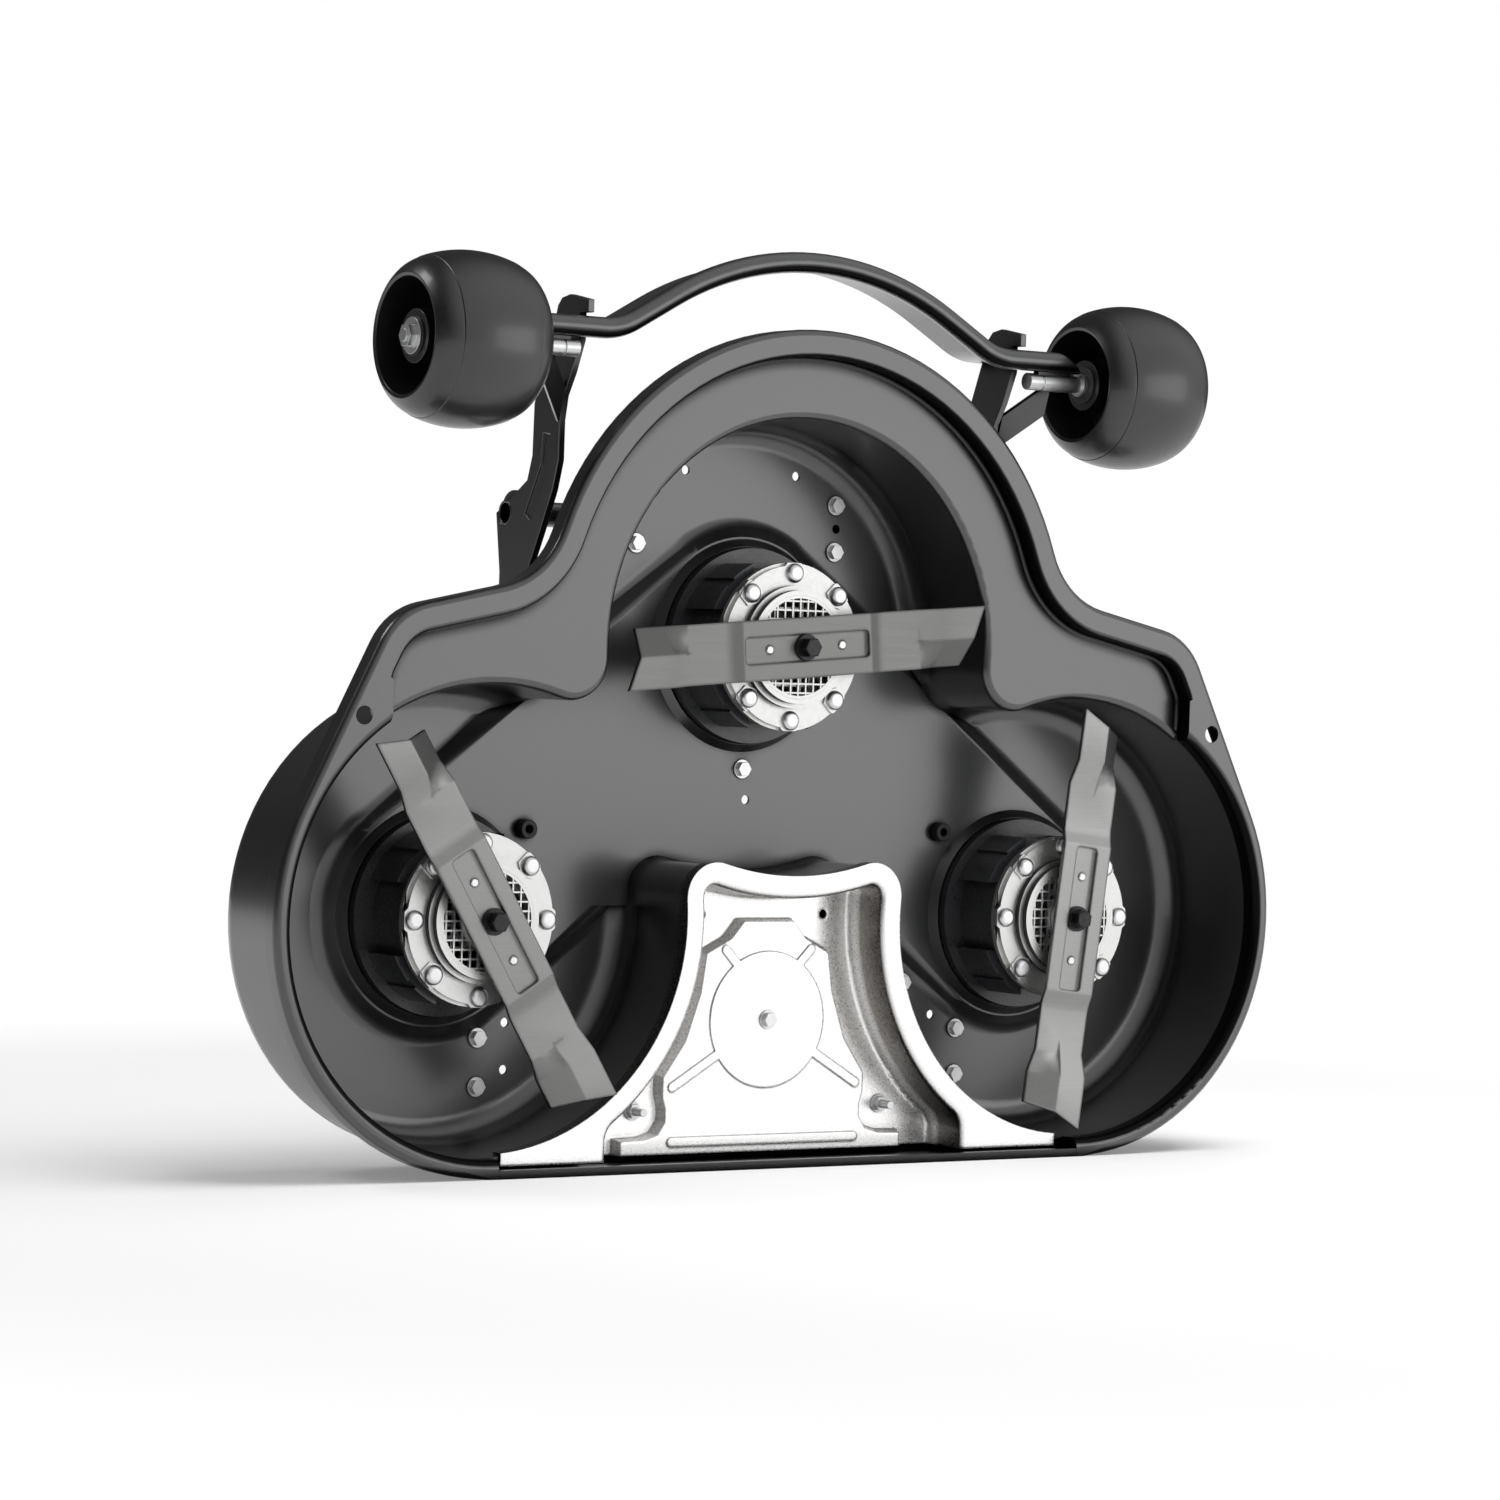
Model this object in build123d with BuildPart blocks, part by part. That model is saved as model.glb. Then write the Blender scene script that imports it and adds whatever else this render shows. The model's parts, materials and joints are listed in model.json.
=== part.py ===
"""Three-blade mower deck that stands on its rear edge, with its underside towards -Y.

X runs across the deck, +Y goes from the underside to the top side, +Z up to the deck's front edge.
The rim is drawn in the plane y = 0, and the rear edge rests on z = 0.
"""
from build123d import *
from math import acos, atan2, cos, degrees, pi, radians, sin, sqrt, tan
import os

# Driving dimensions, in millimetres and degrees.

# Deck shell
SHEET = 3.0
TIP_GAP = 7.75
HUB_ANGLE = 37.69
REAR_FLANGE = 18.0
FRONT_FLANGE = 85.0
SHOULDER_IN = 114.5
SHOULDER_UP = 48.0
SHOULDER_SLOPE = 12.2
SHOULDER_FILLET = 70.0
RIM_NECK_FILLET = 85.0
RIM_FILLET = 9.0
LIP_DEPTH = 22.0
CHAMBER_GAP = 8.0
CHAMBER_DEPTH = 138.0
CHAMBER_FLOOR_FILLET = 26.0
CHAMBER_NECK_FILLET = 40.0
BAND_INSET = 26.0
BAND_DEPTH = 20.0
BAND_PAST_SHOULDER = 1.0
BAND_END_FILLET = 16.0
BAND_FILLET = 8.0
PLATEAU_R = 106.0
PLATEAU_RISE = 12.0
PLATEAU_SLOPE = 49.0
BOSS_R = 104.0
BOSS_RISE = 7.0
BOSS_SLOPE = 45.0
EAR_HOLE_OUT = 30.7
EAR_HOLE_DROP = 96.6
EAR_HOLE_R = 8.5
SADDLE_UP = 39.0
SADDLE_EASE = 78.0
SADDLE_INSET = 18.0
TUNNEL_CORNER_FILLET = 30.0
RIM_END_INSET = 3.5
SILL_HEM = 8.0
DRAIN_HOLE_R = 4.5

# Mulch plug
PLUG_SHEET = 2.0
PLUG_FRONT = 20.0
PLUG_OVERLAP = 3.0
PLUG_END_INSET = 16.5
PLUG_BOTTOM = 9.5
PLUG_RIM = 22.0
PLUG_DEPTH = 56.0
PLUG_PAN_INSET = 132.5
PLUG_LIP = 14.0
PLUG_RIM_FILLET = 7.0
PLUG_FLOOR_FILLET = 6.0
PLUG_BOLT_DROP = 99.0
PLUG_DISC_R = 66.0
PLUG_FIELD = 12.0
PLUG_FIELD_EASE = 4.0
PLUG_EMBOSS = 1.6
PLUG_STUD_IN = 62.0
PLUG_STUD_UP = 41.5
PLUG_HOLE_DROP = 37.0

# Blade drives
BLADE_LENGTH = 420.0
BLADE_WIDTH = 58.0
BLADE_THICK = 4.0
BLADE_FACE = 13.0
BLADE_JOGGLE = 4.2
BLADE_DIP = 10.0
BLADE_WING = 9.0
BLADE_CHANNEL = 26.0
BLADE_ANGLES = {"front": 4.9, "left": 121.7, "right": 83.0}
BLADE_BOLT_HEAD = 11.0
COLLAR_R = 95.0
COLLAR_THICK = 9.0
HOUSING_R = 76.0
HOUSING_WALL = 6.0
TOOTH_HEIGHT = 10.0
TOOTH_GAP = 68.0
FLANGE_FACE = 41.0
FLANGE_THICK = 10.0
FLANGE_R = 81.0
FLANGE_BORE = 50.0
FLANGE_PCD_R = 71.0
FLANGE_BOLTS = 8
FLANGE_BOLT_HEAD_R = 9.5
FLANGE_PAD = 2.0
FLANGE_NECK = 13.0
GRILLE_THICK = 3.0
GRILLE_BAR = 2.6
GRILLE_PITCH = 10.5
SHAFT_R = 10.0
BEARING_R = 23.0
BEARING_WIDTH = 15.0
RUNNING = 0.05
CLEARANCE = 0.3

# Front carriage
WHEEL_OUT = 45.5
WHEEL_Y = 28.0
WHEEL_R = 81.5
WHEEL_WIDTH = 124.0
WHEEL_SHOULDER = 20.0
WHEEL_CROWN = 7.0
WHEEL_END_R = 57.5
WHEEL_HOLLOW_R = 54.0
WHEEL_HUB_R = 26.0
WHEEL_HUB_INSET = 11.0
WHEEL_WEB = 12.0
SEAM = 0.9
AXLE_R = 8.5
AXLE_END_R = 6.0
AXLE_LENGTH = 122.0
BUSH_R = 12.5
TUBE_R = 10.0
TUBE_WALL = 2.5
TUBE_Y = 24.0
TUBE_ABOVE_AXLE = 20.0
TUBE_BELOW_RIM = 12.5
TUBE_BEND_R = 70.0
MITRE = 28.0
ARCH_RISE = 77.0
ARCH_HALF_ANGLE = 30.0
ARCH_INSET = 65.0
BUMPER_SHEET = 3.0
BUMPER_SHEET_DEPTH = 52.0
ARM_THICK = 7.0
ARM_INSET = 90.5
CROSS_Y = 160.0
CROSS_DROP = 171.5
CROSS_R = 12.0
CROSS_RING = 10.0
BRACE_SHEET = 4.5
BRACKET_SHEET = 5.0
BRACKET_FOOT_UP = 84.0
BRACKET_FOOT_HEIGHT = 72.0
BRACKET_FOOT_WIDTH = 34.0

# Fasteners
HEX_FLATS = 13.0
HEX_HEIGHT = 5.5
BOLT_R = 4.0
WASHER_R = 9.0
WASHER_THICK = 1.6

# Worked out from the driving dimensions.
HUB_X = (BLADE_LENGTH + TIP_GAP) * cos(radians(HUB_ANGLE))
HUB_RISE = (BLADE_LENGTH + TIP_GAP) * sin(radians(HUB_ANGLE))
CHAMBER_R = BLADE_LENGTH / 2 + CHAMBER_GAP
REAR_RIM_R = CHAMBER_R + REAR_FLANGE
FRONT_RIM_R = CHAMBER_R + FRONT_FLANGE
REAR_Z = REAR_RIM_R
FRONT_Z = REAR_Z + HUB_RISE
HUBS = {"front": (0.0, FRONT_Z), "left": (-HUB_X, REAR_Z), "right": (HUB_X, REAR_Z)}
SIDES = {"left": -1, "right": 1}
SHOULDER_X = HUB_X + REAR_RIM_R - SHOULDER_IN
SHOULDER_Z = REAR_Z + REAR_RIM_R + SHOULDER_UP
BAND_END_X = SHOULDER_X + BAND_PAST_SHOULDER
EAR_HOLE_X = SHOULDER_X + EAR_HOLE_OUT
EAR_HOLE_Z = SHOULDER_Z - EAR_HOLE_DROP
SADDLE_Z = REAR_Z + SADDLE_UP
SADDLE_R = CHAMBER_R + SADDLE_EASE
RIM_END_X = HUB_X - RIM_END_INSET
DECK_BACK = CHAMBER_DEPTH + SHEET
PLATEAU_FACE = CHAMBER_DEPTH - PLATEAU_RISE
BOSS_FACE = PLATEAU_FACE - BOSS_RISE
SPIGOT_R = HOUSING_R - 16.0
PLUG_HALF_WIDTH = HUB_X - PLUG_END_INSET
PLUG_PAN_HALF = HUB_X - PLUG_PAN_INSET
PLUG_FLOOR = PLUG_FRONT + PLUG_DEPTH
PLUG_FIELD_FACE = PLUG_FLOOR - PLUG_FIELD
PLUG_BOLT_Z = REAR_Z - PLUG_BOLT_DROP
PLUG_STUD_X = PLUG_PAN_HALF - PLUG_STUD_IN
PLUG_STUD_Z = PLUG_BOTTOM + PLUG_STUD_UP
WHEEL_X = HUB_X + WHEEL_OUT
TUBE_Z = FRONT_Z + FRONT_RIM_R - TUBE_BELOW_RIM
WHEEL_Z = TUBE_Z - TUBE_ABOVE_AXLE
AXLE_INNER_X = WHEEL_X - AXLE_LENGTH
HUB_HALF = WHEEL_WIDTH / 2 - WHEEL_HUB_INSET
TUBE_HALF = WHEEL_X - HUB_HALF - 2.0 - HEX_HEIGHT - 2 * CLEARANCE
ARCH_TOP_Z = TUBE_Z + ARCH_RISE
ARCH_R = WHEEL_X - ARCH_INSET
ARM_X = HUB_X - ARM_INSET
CROSS_Z = TUBE_Z - CROSS_DROP
BRACKET_FOOT_LOW = REAR_Z + BRACKET_FOOT_UP
BRACKET_FOOT_HIGH = BRACKET_FOOT_LOW + BRACKET_FOOT_HEIGHT
MIDDLE_Y = (WHEEL_Y - WHEEL_R + CROSS_Y + CROSS_R + CROSS_RING) / 2

os.makedirs("parts", exist_ok=True)


def save(piece, name):
    """Moves a piece so that the origin is under the object's middle, labels it and writes its file."""
    stood = piece.part.moved(Location((0, -MIDDLE_Y, 0)))
    stood.label = name
    export_step(stood, f"parts/{name}.step")


def facing(depth, x=0.0, z=0.0):
    """A drawing plane that faces the viewer, the given depth behind the rim. Extruding comes forward."""
    return Plane(origin=(x, depth, z), x_dir=(1, 0, 0), z_dir=(0, -1, 0))


def across(x, y=0.0, z=0.0):
    """A drawing plane across the deck at x, whose own axes are Y and Z. Extruding goes towards +X."""
    return Plane(origin=(x, y, z), x_dir=(0, 1, 0), z_dir=(1, 0, 0))


def edges_on(piece, outline, depth):
    """The piece's edges that lie on an outline drawn at a depth."""
    wire = facing(depth) * outline.face().outer_wire()
    level = piece.edges().filter_by_position(Axis.Y, depth - 0.01, depth + 0.01)
    return [edge for edge in level if wire.distance_to(edge @ 0.5) < 0.05]


# Rim outline: two rear lobes, ears tangent to them, shoulders that slope in, and a round front.
ear_x = SHOULDER_X - HUB_X
ear_z = SHOULDER_Z - REAR_Z
ear_bearing = atan2(ear_z, ear_x) - acos(REAR_RIM_R / sqrt(ear_x**2 + ear_z**2))
slope = radians(SHOULDER_SLOPE)
corner = (pi / 2 - slope - ear_bearing) / 2
corner_bearing = ear_bearing + corner


def rim(grow):
    """The deck's outline, grown by an amount."""
    rear_r = REAR_RIM_R + grow
    front_r = FRONT_RIM_R + grow
    shoulder_x = SHOULDER_X + grow / cos(corner) * cos(corner_bearing)
    shoulder_z = SHOULDER_Z + grow / cos(corner) * sin(corner_bearing)
    root_x = FRONT_RIM_R / 2
    side = [
        (HUB_X, REAR_Z),
        (HUB_X + rear_r * cos(ear_bearing), REAR_Z + rear_r * sin(ear_bearing)),
        (shoulder_x, shoulder_z),
        (root_x, shoulder_z + (shoulder_x - root_x) * tan(slope)),
    ]
    with BuildSketch() as outline:
        with Locations(HUBS["left"], HUBS["right"]):
            Circle(rear_r)
        with Locations(HUBS["front"]):
            Circle(front_r)
        with BuildLine():
            Polyline(*side, *[(-x, z) for x, z in reversed(side)], close=True)
        make_face()
        with Locations((0, (REAR_Z - grow) / 2)):
            Rectangle(2 * HUB_X, REAR_Z + grow)
        at_height = [v for v in outline.vertices() if abs(v.Y - shoulder_z) < 1]
        fillet([v for v in at_height if abs(abs(v.X) - shoulder_x) < 1], SHOULDER_FILLET + grow)
        necks = [v for v in outline.vertices() if root_x < abs(v.X) < front_r and v.Y > FRONT_Z]
        necks = [v for v in necks if abs(sqrt(v.X**2 + (v.Y - FRONT_Z) ** 2) - front_r) < 0.1]
        fillet(necks, RIM_NECK_FILLET - grow)
    return outline.sketch_local


saddle_side = CHAMBER_R - SADDLE_INSET


def chamber(grow):
    """A circle round each blade, joined above the saddle of the rear tunnel, grown by an amount."""
    saddle_edge = SADDLE_Z + SADDLE_R - sqrt((SADDLE_R + grow) ** 2 - saddle_side**2)
    with BuildSketch() as outline:
        with Locations(*HUBS.values()):
            Circle(CHAMBER_R + grow)
        with BuildLine():
            Polyline((saddle_side, saddle_edge), (0, FRONT_Z), (-saddle_side, saddle_edge))
            ThreePointArc((-saddle_side, saddle_edge), (0, SADDLE_Z - grow), (saddle_side, saddle_edge))
        make_face()
        fillet(outline.vertices().group_by(Axis.Y)[-1], CHAMBER_NECK_FILLET - grow)
        fillet(outline.vertices().group_by(Axis.Y)[0], TUNNEL_CORNER_FILLET - grow)
    return outline.sketch_local


def band(grow):
    """The raised front band inside the rim, which ends beside the ears, grown by an amount."""
    with BuildSketch() as outline:
        add(rim(grow - BAND_INSET))
        with Locations((0, FRONT_Z + FRONT_RIM_R / 2)):
            Rectangle(2 * (BAND_END_X + grow), 2 * FRONT_RIM_R, mode=Mode.INTERSECT)
        tops = [v for v in outline.vertices() if abs(v.X) > BAND_END_X + grow - 0.1 and v.Y > EAR_HOLE_Z]
        fillet(tops, BAND_END_FILLET + grow)
    return outline.sketch_local


# Plateau: a straight run from the front motor to each rear motor, and the field between them.
plateau_base_r = PLATEAU_R + PLATEAU_RISE * tan(radians(PLATEAU_SLOPE))
run_length = BLADE_LENGTH + TIP_GAP
field_x = HUB_X * 0.65 - PLATEAU_R * HUB_RISE / run_length
field_z = FRONT_Z - HUB_RISE * 0.65 - PLATEAU_R * HUB_X / run_length


def run(side, radius):
    """The outline of the run on one side, with round ends of a radius."""
    with Locations(Location((side * HUB_X / 2, REAR_Z + HUB_RISE / 2), -side * HUB_ANGLE)):
        SlotCenterToCenter(run_length, 2 * radius)


def pressing(grow):
    """The space inside the deck sheet, grown by an amount: two such spaces differ by the sheet."""
    ahead = LIP_DEPTH
    with BuildPart() as space:
        with BuildSketch(facing(CHAMBER_DEPTH + grow)):
            add(chamber(grow))
        extrude(amount=CHAMBER_DEPTH + grow + ahead)
        fillet(space.faces().sort_by(Axis.Y)[-1].edges(), CHAMBER_FLOOR_FILLET + grow)
        with BuildSketch(facing(BAND_DEPTH + grow)):
            add(band(grow))
        extrude(amount=BAND_DEPTH + grow + ahead)
        with BuildSketch(facing(grow)):
            add(rim(0))
        extrude(amount=grow + ahead)
        fillet(edges_on(space, chamber(grow), BAND_DEPTH + grow), BAND_FILLET - grow)
        fillet(edges_on(space, chamber(grow), grow), RIM_FILLET - grow)
        for side in SIDES.values():
            with BuildSketch(facing(CHAMBER_DEPTH + grow)):
                run(side, plateau_base_r)
            with BuildSketch(facing(PLATEAU_FACE + grow)):
                run(side, PLATEAU_R)
            loft(ruled=True, mode=Mode.SUBTRACT)
        with BuildSketch(facing(CHAMBER_DEPTH + grow)):
            with BuildLine():
                Polyline((0, FRONT_Z), (field_x, field_z), (-field_x, field_z), close=True)
            make_face()
        extrude(amount=PLATEAU_RISE, mode=Mode.SUBTRACT)
        for x, z in HUBS.values():
            with BuildSketch(facing(PLATEAU_FACE + grow, x, z)):
                Circle(BOSS_R)
            extrude(amount=BOSS_RISE, taper=BOSS_SLOPE, mode=Mode.SUBTRACT)
    return space.part


# Deck bolts and see-through holes in the plate, as seen from below (x, z), set out from the hubs.
plate_bolts = [(113.0, FRONT_Z + 141.5), (113.0, FRONT_Z + 95.5), (-120.0, FRONT_Z + 95.5)]
plate_bolts += [(HUB_X - 125.5, REAR_Z - 71.0)]
for side in SIDES.values():
    plate_bolts += [(side * (HUB_X - 57.5), REAR_Z - drop) for drop in (118.0, 164.5)]
plateau_bolts = [(3.0, FRONT_Z - 120.5)]
plate_holes = [(-65.0, FRONT_Z + 168.5), (65.0, FRONT_Z + 168.5)]
plate_holes += [(115.0, FRONT_Z + 118.5), (9.0, FRONT_Z - 150.5)]
for side in SIDES.values():
    plate_holes += [(side * (HUB_X - 88.0), REAR_Z - drop) for drop in (104.0, 149.0)]

tunnel_top = SADDLE_Z + TUNNEL_CORNER_FILLET
with BuildPart() as deck_shell:
    add(pressing(SHEET))
    with BuildSketch(facing(DECK_BACK)):
        with Locations((0, REAR_Z / 2)):
            Rectangle(2 * HUB_X, REAR_Z)
        with Locations((0, tunnel_top / 2)):
            Rectangle(2 * (HUB_X - CHAMBER_R + CHAMBER_FLOOR_FILLET), tunnel_top)
        with Locations(*HUBS.values()):
            Circle(CHAMBER_R - CHAMBER_FLOOR_FILLET, mode=Mode.SUBTRACT)
    extrude(amount=DECK_BACK)
    with BuildSketch(facing(CHAMBER_DEPTH)):
        with Locations((0, (tunnel_top + SHEET) / 2)):
            Rectangle(2 * RIM_END_X, tunnel_top - SHEET)
        add(chamber(SHEET), mode=Mode.SUBTRACT)
    extrude(amount=CHAMBER_DEPTH, mode=Mode.SUBTRACT)
    add(pressing(0), mode=Mode.SUBTRACT)
    with BuildSketch(facing(PLUG_FRONT + PLUG_SHEET)):
        with Locations((0, (tunnel_top + SHEET) / 2)):
            Rectangle(2 * RIM_END_X, tunnel_top - SHEET)
    extrude(amount=PLUG_FRONT + PLUG_SHEET, mode=Mode.SUBTRACT)
    with BuildSketch(facing(LIP_DEPTH)):
        add(rim(0))
        add(rim(-SHEET), mode=Mode.SUBTRACT)
    extrude(amount=LIP_DEPTH)
    with BuildSketch(facing(SILL_HEM)):
        with Locations((0, SILL_HEM / 2)):
            Rectangle(2 * RIM_END_X, SILL_HEM)
    extrude(amount=SILL_HEM - CLEARANCE)
    with BuildSketch(facing(DECK_BACK)):
        with Locations(*HUBS.values()):
            Circle(SPIGOT_R + CLEARANCE)
        with Locations(*plate_bolts, *plateau_bolts):
            Circle(BOLT_R + CLEARANCE)
        with Locations(*plate_holes):
            Circle(DRAIN_HOLE_R)
        with Locations((0, PLUG_BOLT_Z), (-PLUG_STUD_X, PLUG_STUD_Z), (PLUG_STUD_X, PLUG_STUD_Z)):
            Circle(BOLT_R + CLEARANCE)
        with Locations(*[(side * EAR_HOLE_X, EAR_HOLE_Z) for side in SIDES.values()]):
            Circle(EAR_HOLE_R)
    extrude(amount=DECK_BACK + SHEET, mode=Mode.SUBTRACT)
save(deck_shell, "deck_shell")


def plug_rim(inset):
    """The plug's rim, which laps the tunnel walls and is open at the bottom, drawn in from the walls."""
    with BuildSketch() as outline:
        Rectangle(2 * (PLUG_HALF_WIDTH + inset), 2 * tunnel_top)
        add(chamber(inset - PLUG_OVERLAP), mode=Mode.SUBTRACT)
    return outline.sketch_local


def plug_pan(grow):
    """The pan inside the plug's rim, grown by an amount."""
    with BuildSketch() as outline:
        with Locations((0, tunnel_top / 4)):
            Rectangle(2 * (PLUG_PAN_HALF + grow), 1.5 * tunnel_top)
        add(chamber(PLUG_RIM - PLUG_OVERLAP - grow), mode=Mode.SUBTRACT)
        corners = [v for v in outline.vertices() if abs(v.X) > PLUG_PAN_HALF + grow - 0.1 and v.Y > 0]
        fillet(corners, PLUG_RIM + grow)
    return outline.sketch_local


def plug_space(grow):
    """The space in front of the plug's sheet, grown by an amount, before the bottom edge is cut."""
    with BuildPart() as space:
        with BuildSketch(facing(PLUG_FLOOR + grow)):
            add(plug_pan(grow))
        extrude(amount=PLUG_DEPTH + grow + PLUG_LIP)
        fillet(space.faces().sort_by(Axis.Y)[-1].edges(), PLUG_FLOOR_FILLET + grow)
        with BuildSketch(facing(PLUG_FRONT + grow)):
            add(plug_rim(0))
        extrude(amount=grow + PLUG_LIP)
        pan_edges = edges_on(space, plug_pan(grow), PLUG_FRONT + grow)
        fillet(pan_edges, PLUG_RIM_FILLET - grow)
    return space.part


# Raised field on the plug's floor, as shares of the pan's half width and of the saddle's height.
field_shares = [(0.158, 0.851), (0.228, 0.789), (0.364, 0.738), (0.391, 0.6), (0.468, 0.433)]
field_shares += [(0.585, 0.309), (0.585, 0.24), (0.568, 0.2), (0.568, 0.153), (0.607, 0.109)]
field_shares += [(0.68, 0.093), (0.81, 0.09), (0.81, 0.0)]
field_side = [(x * PLUG_PAN_HALF, z * SADDLE_Z) for x, z in field_shares]

with BuildPart() as mulch_plug:
    add(plug_space(PLUG_SHEET))
    add(plug_space(0), mode=Mode.SUBTRACT)
    with BuildSketch(facing(PLUG_FRONT + PLUG_LIP)):
        add(plug_rim(0))
        add(plug_rim(PLUG_SHEET), mode=Mode.SUBTRACT)
    extrude(amount=PLUG_LIP)
    for depth, inset in ((PLUG_FLOOR, 0.0), (PLUG_FIELD_FACE, PLUG_FIELD_EASE)):
        ring = [(x - inset, z - inset / 2) for x, z in field_side]
        with BuildSketch(facing(depth)):
            with BuildLine():
                Polyline(*ring, *[(-x, z) for x, z in reversed(ring)], close=True)
            make_face()
    loft(ruled=True)
    with BuildSketch(facing(PLUG_FIELD_FACE)):
        with Locations((0, PLUG_BOLT_Z)):
            Circle(PLUG_DISC_R)
        for side in SIDES.values():
            lower_rib = (side * PLUG_DISC_R * 1.25, PLUG_BOLT_Z - PLUG_DISC_R * 0.74)
            with Locations(Location(lower_rib, side * 149)):
                SlotOverall(PLUG_DISC_R, 9)
            upper_rib = (side * PLUG_DISC_R * 0.66, PLUG_BOLT_Z + PLUG_DISC_R * 0.93)
            with Locations(Location(upper_rib, side * 46)):
                SlotOverall(PLUG_DISC_R * 0.4, 9)
        with Locations((0, PLUG_STUD_Z - 30)):
            SlotOverall(PLUG_STUD_X * 1.54, 9)
    extrude(amount=PLUG_EMBOSS)
    with BuildSketch(facing(PLUG_FLOOR + PLUG_LIP)):
        with Locations((0, PLUG_BOLT_Z), (-PLUG_STUD_X, PLUG_STUD_Z), (PLUG_STUD_X, PLUG_STUD_Z)):
            Circle(BOLT_R + CLEARANCE)
        for side in SIDES.values():
            with Locations((side * PLUG_DISC_R * 1.076, SADDLE_Z - PLUG_HOLE_DROP)):
                Circle(DRAIN_HOLE_R)
    extrude(amount=PLUG_DEPTH, mode=Mode.SUBTRACT)
    with BuildSketch(facing(PLUG_FLOOR + PLUG_LIP)):
        with Locations((0, PLUG_BOTTOM - tunnel_top)):
            Rectangle(3 * PLUG_HALF_WIDTH, 2 * tunnel_top)
    extrude(amount=2 * PLUG_DEPTH, mode=Mode.SUBTRACT)
save(mulch_plug, "mulch_plug")


def hex_bolt(face, back, head_flats=HEX_FLATS, shank_r=BOLT_R):
    """A hex bolt on the Y axis: washer and head before a face, shank through it, nut at the back."""
    with BuildPart() as bolt:
        with BuildSketch(facing(face)):
            Circle(head_flats * 0.72)
        extrude(amount=WASHER_THICK)
        with BuildSketch(facing(face - WASHER_THICK)):
            RegularPolygon(head_flats / 2, 6, major_radius=False)
        extrude(amount=HEX_HEIGHT)
        with BuildSketch(facing(back + 2 * HEX_HEIGHT)):
            Circle(shank_r)
        extrude(amount=back - face + 2 * HEX_HEIGHT)
        with BuildSketch(facing(back + HEX_HEIGHT)):
            RegularPolygon(head_flats / 2, 6, major_radius=False)
        extrude(amount=HEX_HEIGHT)
    return bolt.part


def set_out(part, places):
    """Copies of one part at several places (x, z), as a group."""
    with BuildPart() as group:
        with Locations(*[(x, 0, z) for x, z in places]):
            add(part)
    return group


deck_bolts = set_out(hex_bolt(CHAMBER_DEPTH, DECK_BACK), plate_bolts)
save(deck_bolts, "deck_bolts")
plateau_bolt = set_out(hex_bolt(PLATEAU_FACE, PLATEAU_FACE + SHEET), plateau_bolts)
save(plateau_bolt, "plateau_bolt")
plug_bolt = set_out(hex_bolt(PLUG_FIELD_FACE - PLUG_EMBOSS, DECK_BACK), [(0, PLUG_BOLT_Z)])
save(plug_bolt, "plug_bolt")
stud_places = [(-PLUG_STUD_X, PLUG_STUD_Z), (PLUG_STUD_X, PLUG_STUD_Z)]
with BuildPart() as stud:
    with BuildSketch(facing(PLUG_FLOOR)):
        Circle(WASHER_R)
    extrude(amount=WASHER_THICK)
    with BuildSketch(facing(PLUG_FLOOR - WASHER_THICK)):
        RegularPolygon(HEX_FLATS / 2, 6, major_radius=False)
    extrude(amount=HEX_HEIGHT)
    with BuildSketch(facing(DECK_BACK + 2 * HEX_HEIGHT)):
        Circle(BOLT_R)
    extrude(amount=DECK_BACK - PLUG_FLOOR + 6 * HEX_HEIGHT)
    with BuildSketch(facing(DECK_BACK + HEX_HEIGHT)):
        RegularPolygon(HEX_FLATS / 2, 6, major_radius=False)
    extrude(amount=HEX_HEIGHT)
plug_studs = set_out(stud.part, stud_places)
save(plug_studs, "plug_studs")

# Rubber stops: short sleeves on the plateau beside the rear motors.
with BuildPart() as stop:
    with BuildSketch(facing(PLATEAU_FACE)):
        Circle(WASHER_R)
        Circle(BOLT_R, mode=Mode.SUBTRACT)
    extrude(amount=2 * HEX_HEIGHT)
rubber_stops = set_out(stop.part, [(side * (HUB_X - 95), REAR_Z + 81) for side in SIDES.values()])
save(rubber_stops, "rubber_stops")

# Blade drive pieces, drawn round the Y axis and then placed at the three hubs.
FLANGE_BACK = FLANGE_FACE + FLANGE_THICK
COLLAR_FACE = BOSS_FACE - COLLAR_THICK
HOUSING_BORE = HOUSING_R - HOUSING_WALL
SPIGOT_BACK = DECK_BACK + COLLAR_THICK
SPIGOT_BORE = SPIGOT_R - HOUSING_WALL / 2
BLADE_SEAT = BLADE_FACE + BLADE_JOGGLE
BLADE_BACK = BLADE_SEAT + BLADE_THICK
HUB_BACK = FLANGE_FACE - GRILLE_THICK
SHAFT_FRONT = BLADE_BACK + 6.0
BOLT_SHANK_R = SHAFT_R / 2

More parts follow.
